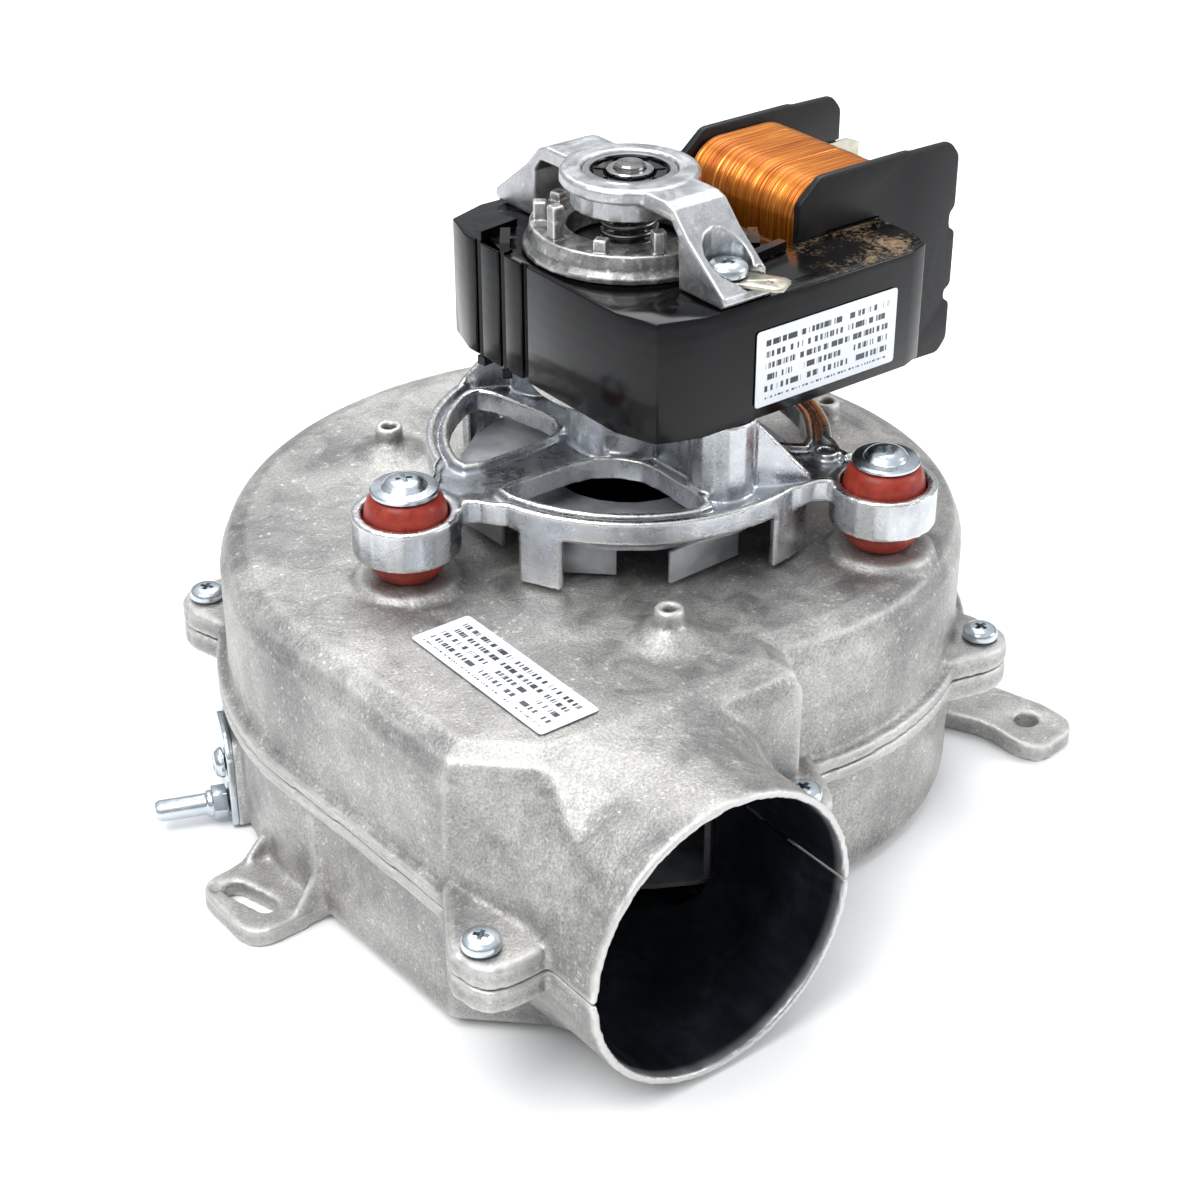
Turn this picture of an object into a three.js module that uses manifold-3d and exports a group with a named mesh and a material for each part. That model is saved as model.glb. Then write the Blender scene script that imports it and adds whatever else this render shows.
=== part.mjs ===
// Combustion fan of a boiler: a die-cast scroll casing with its impeller, and above it a shaded-pole
// motor whose cast bracket hangs on three silicone grommets. Millimetres, +Z up along the shaft.
// Every piece is drawn with the shaft on x = y = 0 and the casing's underside on z = 0, the outlet
// pointing along -Y. The whole fan then moves so that its origin is the middle of its footprint.
import * as THREE from "three";
import { ConvexGeometry } from "three/addons/geometries/ConvexGeometry.js";
import { mergeVertices } from "three/addons/utils/BufferGeometryUtils.js";
import Module from "manifold-3d";

const wasm = await Module();
wasm.setup();

// ---------- driving dimensions ----------
const gap = 0.3; // clearance kept where two separate pieces meet

// casing
const casingHeight = 62;
const seamHeight = 31;
const wallThickness = 2.5;
const scrollFirstAngle = -100; // the scroll opens from the tongue, counter-clockwise from above
const scrollLastAngle = 180;
const scrollFirstRadius = 65.9;
const scrollLastRadius = 88;
const sideWallX = -84.5; // the straight wall between the scroll's end and the outlet
const throatY = -56; // where the box section starts to turn into the round outlet
const outletX = -52.8;
const outletRadius = 30;
const outletBore = 28.4;
const outletRoundY = -80;
const outletMouthY = -96.3;
const lipWidth = 2.5;
const lipThickness = 3;
const lugThickness = 5;
const casingScrewPlaces = [
  [-91.8, -76.3],
  [-17.7, -77],
  [51, -56],
  [-70.5, 58],
  [54, 64.3],
];
const inletRadius = 34;

// motor bracket on its grommets
const bracketRadius = 42;
const bracketFloor = 74;
const bracketTop = 79;
const armAngles = [60, 180, 300];
const armReach = 55.2;
const ringRadius = 10.8;
const ringBore = 8.8;
const ringBottom = 69;
const ringTop = 77.6;
const padHeight = 63.5;
const spareBossAngles = [0, 120, 240];
const spareBossReach = 56;

// motor
const stackBottom = 94;
const stackTop = 119;
const stackLeft = -22.6;
const stackRight = 49.5;
const stackHalfWidth = 36.5;
const boreRadius = 20.8;
const rotorRadius = 20.3;
const bridgeScrewReach = 30;
const coilLegLeft = 36;
const coilHalfLength = 19;
const bridgeTop = 135.5;

// shaft and bearings (626 size: 6 x 19 x 6)
const shaftRadius = 3;
const bearingRadius = 9.5;
const bearingWidth = 6;
const lowerBearingBottom = 82;
const upperBearingBottom = 129.3;

// impeller and cooling wheel
const impellerRadius = 60;
const impellerBottom = 5;
const impellerTop = 44;
const bladeCount = 22;
const coolingFlapCount = 8;

// ---------- solids ----------
const degrees = Math.PI / 180;

function polar(radius, angle) {
  return new THREE.Vector2(radius * Math.cos(angle * degrees), radius * Math.sin(angle * degrees));
}

// A closed three.js geometry as a solid that can be joined and cut.
function toSolid(geometry) {
  const bare = geometry.index ? geometry.toNonIndexed() : geometry.clone();
  bare.deleteAttribute("normal");
  bare.deleteAttribute("uv");
  const merged = mergeVertices(bare, 1e-4);
  const corners = merged.index.array;
  const triangles = [];
  for (let i = 0; i < corners.length; i += 3) {
    const [a, b, c] = [corners[i], corners[i + 1], corners[i + 2]];
    if (a !== b && b !== c && c !== a) triangles.push(a, b, c);
  }
  const vertProperties = merged.attributes.position.array;
  return new wasm.Manifold(new wasm.Mesh({ numProp: 3, vertProperties, triVerts: new Uint32Array(triangles) }));
}

function toGeometry(solid) {
  const mesh = solid.getMesh();
  const geometry = new THREE.BufferGeometry();
  geometry.setAttribute("position", new THREE.BufferAttribute(mesh.vertProperties, 3));
  geometry.setIndex(new THREE.BufferAttribute(mesh.triVerts, 1));
  geometry.computeVertexNormals();
  return geometry;
}

function join(...solids) {
  return solids.flat().reduce((whole, piece) => whole.add(piece));
}

function cut(solid, ...tools) {
  return tools.flat().reduce((rest, tool) => rest.subtract(tool), solid);
}

// An outline pulled up between two heights, its two rims rounded when bevel is given.
function prism(shape, low, high, bevel = 0, bevelSegments = 3) {
  const geometry = new THREE.ExtrudeGeometry(shape, {
    depth: high - low - 2 * bevel,
    curveSegments: 2,
    bevelEnabled: bevel > 0,
    bevelThickness: bevel,
    bevelSize: bevel,
    bevelOffset: -bevel,
    bevelSegments,
  });
  return toSolid(geometry.translate(0, 0, low + bevel));
}

function drum(radius, low, high, x = 0, y = 0, sides = 24) {
  const geometry = new THREE.CylinderGeometry(radius, radius, high - low, sides);
  return toSolid(geometry.rotateX(Math.PI / 2).translate(x, y, (low + high) / 2));
}

function block(lowX, highX, lowY, highY, lowZ, highZ, turn = 0) {
  const geometry = new THREE.BoxGeometry(highX - lowX, highY - lowY, highZ - lowZ);
  geometry.translate((lowX + highX) / 2, (lowY + highY) / 2, (lowZ + highZ) / 2);
  return toSolid(geometry.rotateZ(turn * degrees));
}

// A profile of [radius, height] points turned round the Z axis; it starts and ends on the axis or closes.
function turned(profile, sides = 32, x = 0, y = 0) {
  const area = profile.reduce((sum, [r, z], i) => {
    const [nextR, nextZ] = profile[(i + 1) % profile.length];
    return sum + r * nextZ - nextR * z;
  }, 0);
  const ordered = area > 0 ? profile : [...profile].reverse();
  const points = ordered.map(([r, z]) => new THREE.Vector2(r, z));
  if (ordered[0][0] > 0) points.push(points[0].clone());
  const geometry = new THREE.LatheGeometry(points, sides);
  return toSolid(geometry.rotateX(Math.PI / 2).translate(x, y, 0));
}

// A polygon whose corners are rounded off.
function softPolygon(points, radius) {
  const shape = new THREE.Shape();
  points.forEach(([x, y], i) => {
    const corner = new THREE.Vector2(x, y);
    const before = new THREE.Vector2(...points.at(i - 1));
    const after = new THREE.Vector2(...points[(i + 1) % points.length]);
    const inLength = Math.min(radius, before.distanceTo(corner) * 0.45);
    const outLength = Math.min(radius, after.distanceTo(corner) * 0.45);
    const start = corner.clone().add(before.sub(corner).setLength(inLength));
    const end = corner.clone().add(after.sub(corner).setLength(outLength));
    if (i === 0) shape.moveTo(start.x, start.y);
    else shape.lineTo(start.x, start.y);
    shape.quadraticCurveTo(x, y, end.x, end.y);
  });
  shape.closePath();
  return shape;
}

// The cut-out of a rectangle with equally rounded corners.
function softRectangle(lowX, highX, lowY, highY, radius) {
  return softPolygon([[lowX, lowY], [highX, lowY], [highX, highY], [lowX, highY]], radius);
}

// ---------- finishes ----------
function finish(color, roughness, metalness) {
  return () => new THREE.MeshStandardMaterial({ color, roughness, metalness });
}
const dieCast = finish(0xa9a6a1, 0.6, 0.8);
const brightCast = finish(0xb9bbbe, 0.4, 0.9);
const zincPlate = finish(0xb4bdc1, 0.3, 0.95);
const steel = finish(0x8f9296, 0.35, 1);
const bearingSteel = finish(0x9a9b9c, 0.25, 1);
const blackNylon = finish(0x18181a, 0.5, 0);
const silicone = finish(0xa52d1c, 0.55, 0);
const blackLacquer = finish(0x17171a, 0.3, 0.1);
const laminatedSteel = finish(0x55565a, 0.5, 0.9);
const copperWire = finish(0xc8701f, 0.35, 0.6);
const tinned = finish(0xb9b6a6, 0.45, 0.8);
const stampedAluminium = finish(0x9c9fa2, 0.35, 0.9);
const paper = finish(0xe4e8ec, 0.6, 0);

const fan = new THREE.Group();
const casing = new THREE.Group();
const pressureTap = new THREE.Group();
const motor = new THREE.Group();
const rotor = new THREE.Group();
fan.add(casing, motor, rotor);
casing.add(pressureTap);

function place(group, name, solid, material) {
  const mesh = new THREE.Mesh(toGeometry(solid), material());
  mesh.name = name;
  group.add(mesh);
  return mesh;
}

// ---------- casing ----------
function scrollRadius(angle) {
  const share = (angle - scrollFirstAngle) / (scrollLastAngle - scrollFirstAngle);
  return scrollFirstRadius + share * (scrollLastRadius - scrollFirstRadius);
}

// The scroll seen from above, set outwards by grow; the front points close it across the throat.
function scrollOutline(grow, frontPoints) {
  const points = [];
  for (let angle = scrollFirstAngle; angle <= scrollLastAngle; angle += 10) {
    points.push(polar(scrollRadius(angle) + grow, angle));
  }
  frontPoints.forEach(([x, y]) => points.push(new THREE.Vector2(x, y)));
  return new THREE.Shape(points);
}

function outerOutline(grow) {
  const front = [
    [sideWallX - 2 - grow, throatY / 2],
    [sideWallX - 1 - grow, throatY - grow * 0.6],
    [-71.5, -69.5 - grow],
    [-56, -72 - grow],
    [-14 + grow / 2, -72 - grow],
  ];
  return scrollOutline(grow, front);
}

// The duct between the box section of the throat and the round outlet, thinner by inset. Its left corners
// are cut off in slopes that run from the box's slanting front down to the tube.
function throat(inset) {
  const points = [];
  const left = sideWallX - 1 + inset;
  const right = -20.5 - inset;
  const round = inset > 0 ? outletBore : outletRadius;
  const onCircle = (y, x, z, radius, from, to) => {
    for (let angle = from; angle <= to; angle += 22.5) {
      const rim = polar(radius, angle);
      points.push(new THREE.Vector3(x + rim.x, y, z + rim.y));
    }
  };
  const half = seamHeight - inset;
  const backY = throatY + (inset > 0 ? 8 : 4);
  onCircle(backY, right - 5, seamHeight + half - 5, 5, 0, 90);
  onCircle(backY, right - 5, seamHeight - half + 5, 5, 270, 360);
  onCircle(throatY - 5, right - 11.5, seamHeight + half - 11.2, 11, 0, 90);
  onCircle(throatY - 5, right - 11.5, seamHeight - half + 11.2, 11, 270, 360);
  for (const side of [-1, 1]) {
    const slope = (x, y, z) => new THREE.Vector3(x + 0.55 * inset, y + 0.5 * inset, seamHeight + side * (z - 0.67 * inset));
    points.push(new THREE.Vector3(left, backY, seamHeight + side * (9 - 0.4 * inset)));
    points.push(new THREE.Vector3(-70 + 0.4 * inset, backY, seamHeight + side * half));
    points.push(slope(sideWallX - 0.5, throatY - 2, 9));
    points.push(slope(-71, -69, 29));
  }
  onCircle(outletRoundY, outletX, seamHeight, round, 0, 337.5);
  return toSolid(new ConvexGeometry(points));
}

function outletTube(radius, farY) {
  const length = farY - outletMouthY;
  const geometry = new THREE.CylinderGeometry(radius, radius, length, 32);
  return toSolid(geometry.translate(outletX, outletMouthY + length / 2, seamHeight));
}

// The air space inside both casing halves.
function airSpace() {
  const front = [
    [sideWallX + wallThickness - 2, throatY / 2],
    [sideWallX + wallThickness - 1, throatY + 4],
    [-40, throatY + 4],
  ];
  const outline = scrollOutline(-wallThickness, front);
  const scroll = prism(outline, wallThickness, casingHeight - wallThickness, 2, 1);
  const wheelRoom = drum(impellerRadius + 2.8, wallThickness, casingHeight - wallThickness, 0, 0, 36);
  const boreGeometry = new THREE.CylinderGeometry(outletBore, outletBore, 30, 32);
  const bore = toSolid(boreGeometry.translate(outletX, outletMouthY + 10, seamHeight));
  return join(scroll, wheelRoom, throat(wallThickness), bore);
}

// A screw lug: a round pad on the screw's axis that widens into the scroll's wall.
function lugOutline([x, y]) {
  if (x < -85) return softPolygon([[-85, -54], [-97.6, -74], [-95.5, -83], [-84.5, -84.5], [-72, -76], [-72, -56]], 4);
  if (y < -70) return softPolygon([[-27, -68], [-24.5, -80], [-19.5, -83.2], [-13, -81.5], [-6, -66], [-14, -62]], 4);
  const away = Math.atan2(y, x) / degrees;
  const reach = Math.hypot(x, y);
  const along = (out, side) => {
    const point = polar(1, away).multiplyScalar(out).add(polar(1, away + 90).multiplyScalar(side));
    return [point.x, point.y];
  };
  const wall = reach - 9;
  const outline = [along(wall - 4, -13), along(wall + 2, -12.5), along(reach + 5.6, -4), along(reach + 5.6, 4)];
  outline.push(along(wall + 2, 12.5), along(wall - 4, 13));
  return softPolygon(outline, 4);
}

function screwHoles(radius, low, high) {
  return casingScrewPlaces.map(([x, y]) => drum(radius, low, high, x, y, 10));
}

function threadedBoss(angle) {
  const { x, y } = polar(spareBossReach, angle);
  const profile = [[0, 60], [8.4, 60], [8.4, 62], [4.6, 64.2], [3.05, 65], [3.05, 68.9], [0, 68.9]];
  return cut(turned(profile, 12, x, y), drum(1.7, 63.5, 70, x, y, 8));
}

function grommetPad(angle) {
  const { x, y } = polar(armReach, angle);
  const profile = [[0, 53], [4.2, 53], [4.2, 60], [11.2, 60], [11.2, 62.2], [10.2, padHeight], [0, padHeight]];
  return turned(profile, 16, x, y);
}

function upperCasing() {
  const shell = prism(outerOutline(0), 20, casingHeight, 6, 2);
  const lip = prism(outerOutline(lipWidth), seamHeight, seamHeight + lipThickness);
  const lugs = casingScrewPlaces.map((spot) => prism(lugOutline(spot), seamHeight, seamHeight + lugThickness));
  const body = join(shell, throat(0), outletTube(outletRadius, outletRoundY + 1), lip, lugs);
  const hollow = cut(body, airSpace());
  const dressed = join(hollow, spareBossAngles.map(threadedBoss), armAngles.map(grommetPad));
  const padHoles = armAngles.map((angle) => {
    const { x, y } = polar(armReach, angle);
    return drum(2.2, 50, 70, x, y, 12);
  });
  const lowerHalf = block(-130, 130, -130, 130, -10, seamHeight + gap / 2);
  return cut(dressed, padHoles, screwHoles(2.3, 25, 40), drum(5, 50, 70, 0, 0, 24), lowerHalf);
}

const tapAzimuth = 158.5;
const tapFace = 87.7;
const tapNearSide = 8.8; // the plate's edge towards the slotted ear, across from its middle
const tapTop = 21.6;

function tapPad() {
  return block(78, tapFace, -tapNearSide, tapNearSide, 0.6, tapTop - 0.4, tapAzimuth);
}

function radialHole(radius, side, height) {
  const geometry = new THREE.CylinderGeometry(radius, radius, 16, 12);
  geometry.rotateZ(Math.PI / 2).translate(84, side, height);
  return toSolid(geometry.rotateZ(tapAzimuth * degrees));
}

const nippleSide = 4.3; // across the tap plate, towards the slotted ear
const nippleHeight = 4.7;
const tapScrewSide = 4.4;
const tapScrewHeight = 14.6;

function slottedEar() {
  const outline = [[-84, 10], [-101.5, 8.5], [-104.6, 5], [-104.4, -11], [-100.5, -14.2], [-84, -13]];
  const plate = prism(softPolygon(outline, 3), 0, 4);
  const slotAngle = Math.atan2(9, -2.6) / degrees;
  const slot = join(drum(2.35, -1, 6, -96.3, -6.3, 16), drum(2.35, -1, 6, -98.6, 2.3, 16));
  const mid = block(-4.45, 4.45, -2.35, 2.35, -1, 6, slotAngle).translate([-97.45, -2, 0]);
  const dimple = drum(1.9, 3.3, 6, -101.4, 4.9, 12);
  return cut(plate, slot, mid, dimple);
}

// A small web in the corner between the slotted ear and the wall, standing on the ear's edge.
function earWeb(y, top, reach) {
  const wallX = -88;
  const shape = new THREE.Shape();
  shape.moveTo(-84, 3);
  shape.lineTo(wallX - reach, 3);
  shape.lineTo(wallX - reach, 4.3);
  shape.lineTo(wallX, top);
  shape.lineTo(-84, top);
  shape.closePath();
  const geometry = new THREE.ExtrudeGeometry(shape, { depth: 1.8, bevelEnabled: false });
  return toSolid(geometry.rotateX(Math.PI / 2).translate(0, y + 0.9, 0));
}

function drilledEar() {
  const outline = [[58, -34], [60.5, -39], [64.6, -47], [65, -59], [68, -62.6], [78.5, -61.2], [81.7, -57.5]];
  outline.push([81.6, -50.5], [76.8, -34.5], [72.5, -17], [64, -15]);
  const plate = prism(softPolygon(outline, 2.5), 0, 4);
  return cut(plate, drum(2.75, -1, 6, 73.3, -51.8, 20));
}

function lowerCasing() {
  const shell = prism(outerOutline(0), 0, 42, 3, 1);
  const lip = prism(outerOutline(lipWidth), seamHeight - lipThickness, seamHeight);
  const lugs = casingScrewPlaces.map((spot) => prism(lugOutline(spot), seamHeight - lugThickness, seamHeight));
  const feet = [slottedEar(), earWeb(8.2, 9.5, 5), earWeb(-12.2, 12.5, 5.5), drilledEar()];
  const rib = block(-88.6, -80, -13.4, -11.2, 1, seamHeight);
  const body = join(shell, throat(0), outletTube(outletRadius, outletRoundY + 1), lip, lugs, feet, rib, tapPad());
  const hollow = cut(body, airSpace());
  const inletLip = turned([[inletRadius, 1], [inletRadius + 3.5, 1], [inletRadius + 1.6, 4.2], [inletRadius, 4.2]], 32);
  const upperHalf = block(-130, 130, -130, 130, seamHeight - gap / 2, 80);
  const tapHoles = [radialHole(2.7, nippleSide, nippleHeight), radialHole(1.9, tapScrewSide, tapScrewHeight)];
  const inlet = drum(inletRadius + 0.01, -1, 3, 0, 0, 32);
  return cut(join(cut(hollow, inlet), inletLip), tapHoles, screwHoles(2.2, 12, 40), upperHalf);
}

// A cross-head screw whose head rests on seat; the head widens into a washer when flange is given.
function crossScrew(x, y, seat, length, shank, head, flange = 0) {
  const height = head * 0.68;
  const profile = [[0, seat - length], [shank, seat - length + shank * 0.4], [shank, seat]];
  if (flange) profile.push([flange, seat], [flange, seat + 0.9], [head, seat + 1.6]);
  else profile.push([head, seat], [head, seat + height * 0.4]);
  profile.push([head * 0.8, seat + height * 0.85], [head * 0.45, seat + height], [0, seat + height]);
  const body = turned(profile, 12, x, y);
  const wing = head * 0.52;
  const low = seat + height * 0.35;
  const recess = [
    block(x - wing, x + wing, y - 0.5, y + 0.5, low, seat + height + 1),
    block(x - 0.5, x + 0.5, y - wing, y + wing, low, seat + height + 1),
  ];
  return cut(body, recess);
}

// The tap's pieces are drawn with +X as the outward direction and turned to their place as a group.
function lyingScrew(seat, side, height) {
  const upright = toGeometry(crossScrew(0, 0, 0, 7, 1.5, 3.3));
  return toSolid(upright.rotateY(Math.PI / 2).translate(seat, side, height));
}

function tapPlate() {
  const side = tapNearSide;
  const outline = [[-side, 0.4], [side, 0.4], [side, tapTop - 3.4], [side - 3.6, tapTop], [3.6 - side, tapTop], [-side, tapTop - 3.4]];
  const geometry = new THREE.ExtrudeGeometry(softPolygon(outline, 1.5), { depth: 1.5, bevelEnabled: false });
  geometry.rotateX(Math.PI / 2).rotateZ(Math.PI / 2).translate(tapFace + gap, 0, 0);
  const nippleHole = new THREE.CylinderGeometry(2.7, 2.7, 8, 12).rotateZ(Math.PI / 2);
  const screwHole = new THREE.CylinderGeometry(1.9, 1.9, 8, 12).rotateZ(Math.PI / 2);
  nippleHole.translate(tapFace, nippleSide, nippleHeight);
  screwHole.translate(tapFace, tapScrewSide, tapScrewHeight);
  return cut(toSolid(geometry), toSolid(nippleHole), toSolid(screwHole));
}

function tapNipple() {
  const seat = tapFace + gap + 1.5 + gap;
  const tip = 105;
  const tube = [[2.35, seat + 4.6], [2.35, tip - 1], [1.9, tip], [1.3, tip]];
  const stem = turned([[1.3, 81], [2.4, 81], [2.4, seat + 3], [2.9, seat + 3.2], [2.9, seat + 4.2], ...tube], 14);
  const hexagon = turned([[0, seat], [3.7, seat], [3.7, seat + 3.2], [0, seat + 3.2]], 6);
  const nut = cut(hexagon, drum(1.3, 80, 110, 0, 0, 14));
  const geometry = toGeometry(join(stem, nut));
  return toSolid(geometry.rotateY(Math.PI / 2).translate(0, nippleSide, nippleHeight));
}

// ---------- motor bracket and its mounts ----------
function armOutline(inset) {
  const side = [[30, 17], [38, 14], [41.2, 11.4], [43.4, 8.2], [45.6, 6.8], [48, 6.9], [51, 9.2]];
  const upper = side.map(([x, y]) => [x, y - inset]);
  const lower = upper.map(([x, y]) => [x, -y]).reverse();
  const points = [...upper, ...lower].map(([x, y]) => new THREE.Vector2(x, y));
  return new THREE.Shape(points.reverse());
}

function armSolid(inset, low, high, angle) {
  const geometry = new THREE.ExtrudeGeometry(armOutline(inset), { depth: high - low, bevelEnabled: false });
  return toSolid(geometry.rotateZ(angle * degrees).translate(0, 0, low));
}

function atArm(angle, radius, low, high, sides = 20) {
  const { x, y } = polar(armReach, angle);
  return drum(radius, low, high, x, y, sides);
}

const bracketWindows = [
  [112, 171],
  [189, 258],
  [309, 411],
];

// One opening between two spokes, set outwards by grow.
function windowOutline([from, to], grow) {
  const outer = 37.6 + grow;
  const inner = 15.5 - grow;
  const slack = grow / outer / degrees;
  const points = [];
  for (let i = 0; i <= 4; i++) {
    const { x, y } = polar(outer, from - slack + ((to - from + 2 * slack) * i) / 4);
    points.push([x, y]);
  }
  const inset = 14;
  for (const angle of [to - inset, from + inset]) {
    const { x, y } = polar(inner, angle);
    points.push([x, y]);
  }
  return softPolygon(points, 5);
}

function skirtTab(from, to) {
  const outer = new THREE.Shape();
  outer.absarc(0, 0, bracketRadius, from * degrees, to * degrees, false);
  outer.absarc(0, 0, bracketRadius - 2, to * degrees, from * degrees, true);
  outer.closePath();
  return prism(outer, 62.9, bracketFloor + 1);
}

function motorColumn(side) {
  const y = side * bridgeScrewReach;
  const post = drum(6.8, bracketFloor, stackBottom - gap, 0, y, 14);
  const spoke = block(-3, 3, Math.min(y, side * 12), Math.max(y, side * 12), bracketFloor, 87);
  const shape = new THREE.Shape();
  shape.moveTo(4, bracketFloor);
  shape.lineTo(18, bracketFloor);
  shape.lineTo(18, bracketTop);
  shape.lineTo(6, stackBottom - 1.5);
  shape.lineTo(4, stackBottom - 1.5);
  shape.closePath();
  const geometry = new THREE.ExtrudeGeometry(shape, { depth: 1.8, bevelEnabled: false });
  geometry.rotateX(Math.PI / 2).translate(0, 0.9, 0).rotateZ(-30 * degrees);
  geometry.translate(0, -bridgeScrewReach, 0);
  if (side > 0) geometry.rotateZ(Math.PI);
  return join(post, spoke, toSolid(geometry));
}

function motorBracket() {
  const sheet = join(
    drum(bracketRadius, bracketFloor, bracketTop, 0, 0, 40),
    armAngles.map((angle) => armSolid(0, bracketFloor, bracketTop, angle)),
  );
  const pocket = join(
    drum(bracketRadius - 2, bracketTop - 1.7, bracketTop + 1, 0, 0, 40),
    armAngles.map((angle) => armSolid(2, bracketTop - 1.7, bracketTop + 1, angle)),
  );
  const rims = bracketWindows.map((span) => prism(windowOutline(span, 1.6), bracketFloor, bracketTop));
  const rings = armAngles.map((angle) => atArm(angle, ringRadius, ringBottom, ringTop, 20));
  const hub = drum(13, bracketFloor, lowerBearingBottom + bearingWidth + 1, 0, 0, 24);
  const tabs = [skirtTab(201, 214), skirtTab(276, 291), skirtTab(21, 34), skirtTab(96, 111)];
  const bossSpot = polar(41.4, 308);
  const boss = drum(2.7, bracketFloor, bracketTop, bossSpot.x, bossSpot.y, 12);
  const holes = bracketWindows.map((span) => prism(windowOutline(span, 0), bracketFloor - 1, bracketTop + 1));
  const plate = cut(join(cut(sheet, pocket), rims, hub), holes);
  const overRings = armAngles.map((angle) => atArm(angle, ringRadius + 0.1, ringTop, 90, 20));
  const solid = join(cut(plate, overRings), rings, tabs, boss, motorColumn(-1), motorColumn(1));
  const ringCuts = armAngles.flatMap((angle) => [
    atArm(angle, ringBore, ringBottom - 1, 71.3),
    atArm(angle, ringBore, 74.3, 90),
    atArm(angle, 5.6, 60, 90, 12),
  ]);
  const bearingSeat = drum(bearingRadius + 0.2, lowerBearingBottom - 0.2, 100, 0, 0, 24);
  const shaftHole = drum(5, 60, 100, 0, 0, 12);
  const columnHoles = [-1, 1].map((side) => drum(2.2, 82, 100, 0, side * bridgeScrewReach, 12));
  return cut(solid, ringCuts, bearingSeat, shaftHole, columnHoles, drum(1.7, 60, 90, bossSpot.x, bossSpot.y, 8));
}

function grommet(x, y) {
  const lower = [[3.5, padHeight + gap], [6.3, padHeight + gap], [7.6, 66.2], [8.3, 69], [8.3, 71]];
  const upper = [[5.2, 71], [5.2, 74.6], [8.3, 74.6], [8.3, 77.6], [7.9, 79.4], [6.9, 81.4], [3.5, 81.4]];
  return turned([...lower, ...upper], 16, x, y);
}

function grommetSleeve(x, y) {
  return turned([[2.3, 64], [3.2, 64], [3.2, 81.4], [2.3, 81.4]], 12, x, y);
}

// ---------- motor ----------
const shadingRings = [
  [[-21.5, 20.5], [-13.6, 21.6]],
  [[-21.5, 12.4], [-17.8, 17.4]],
];

function shadingLegs(radius, low, high) {
  return shadingRings.flatMap((legs) =>
    legs.flatMap(([x, y]) => [drum(radius, low, high, x, y, 8), drum(radius, low, high, -x, -y, 8)]),
  );
}

// The C-shaped stack of laminations: two arms, the pole bore between them, open to the coil's side.
function statorFrame() {
  const shape = new THREE.Shape();
  const [left, right, half, inner] = [stackLeft, stackRight, stackHalfWidth, coilHalfLength + gap];
  const windowX = boreRadius + 4;
  const softCorner = (x1, y1, x2, y2, x3, y3) => {
    shape.lineTo(x1, y1);
    shape.quadraticCurveTo(x2, y2, x3, y3);
  };
  shape.moveTo(windowX, -inner);
  shape.lineTo(right, -inner);
  softCorner(right, -half + 7, right, -half, right - 7, -half);
  softCorner(left + 12, -half, left, -half, left, -half + 12);
  softCorner(left, half - 12, left, half, left + 12, half);
  softCorner(right - 7, half, right, half, right, half - 7);
  shape.lineTo(right, inner);
  shape.lineTo(windowX, inner);
  shape.closePath();
  const stack = prism(shape, stackBottom, stackTop);
  const screwRoom = [-1, 1].map((side) => drum(2.4, 90, 125, 0, side * bridgeScrewReach, 12));
  const grooves = [20.5, 12.4, 4.8].map((y) => block(left - 1, left + 1, y - 1, y + 1, 90, 125));
  return cut(stack, drum(boreRadius, 90, 125, 0, 0, 36), screwRoom, grooves, shadingLegs(1.3, 90, 125));
}

function shadingRing([[x1, y1], [x2, y2]], turn) {
  const angle = Math.atan2(y2 - y1, x2 - x1);
  const length = Math.hypot(x2 - x1, y2 - y1);
  const [legLow, legHigh] = [stackBottom - 1.5, stackTop + 1.5];
  const legs = [drum(1, legLow, legHigh, x1, y1, 8), drum(1, legLow, legHigh, x2, y2, 8)];
  const bars = [stackTop + gap, stackBottom - gap - 1.9].map((low) => {
    const geometry = new THREE.BoxGeometry(length + 2, 2, 1.9);
    geometry.rotateZ(angle).translate((x1 + x2) / 2, (y1 + y2) / 2, low + 0.95);
    return toSolid(geometry);
  });
  const geometry = toGeometry(join(legs, bars));
  return toSolid(geometry.rotateZ(turn * degrees));
}

// Both bobbin flanges and its tube, which the coil leg of the stack runs through.
function bobbin() {
  const flange = (low, high) => {
    const outline = [
      [27.8, 85], [31, 82.6], [57.6, 82.6], [58.6, 83.4], [70, 83.2], [72.4, 86], [72.4, 94.6], [70.6, 95.4],
      [70.6, 97.6], [72.4, 98.4], [72.4, 110.8], [70.6, 111.6], [70.6, 115], [72, 116], [72, 127.6], [69.5, 130.6],
      [58.6, 130.8], [57.6, 131.2], [33.5, 131.2], [27.8, 126.5],
    ];
    const geometry = new THREE.ExtrudeGeometry(softPolygon(outline, 1), { depth: high - low, bevelEnabled: false, curveSegments: 2 });
    return toSolid(geometry.rotateX(Math.PI / 2).translate(0, high, 0));
  };
  const tube = block(coilLegLeft - 1.8, stackRight + 1.8, -coilHalfLength + 0.3, coilHalfLength - 0.3, stackBottom - 1.8, stackTop + 1.8);
  const room = block(coilLegLeft - gap, stackRight + gap, -30, 30, stackBottom - gap, stackTop + gap);
  const front = -coilHalfLength;
  const terminalSlots = [97, 117].map((z) => block(60, 75, 16.9, 18.3, z - 3.5, z + 3.5));
  return cut(join(tube, flange(front, front + 1.8), flange(-front - 1.8, -front)), room, terminalSlots);
}

// The coil's outer shape, wound round the bobbin's tube between the flanges.
function winding() {
  const low = -coilHalfLength + 1.8 + gap;
  const outline = softRectangle(28.6, 57.2, 84, 129.6, 8);
  const wound = new THREE.ExtrudeGeometry(outline, { depth: -2 * low, bevelEnabled: false, curveSegments: 5 });
  const solid = toSolid(wound.rotateX(Math.PI / 2).translate(0, -low, 0));
  const margin = 1.8 + gap;
  return cut(solid, block(coilLegLeft - margin, stackRight + margin, -30, 30, stackBottom - margin, stackTop + margin));
}

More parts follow.
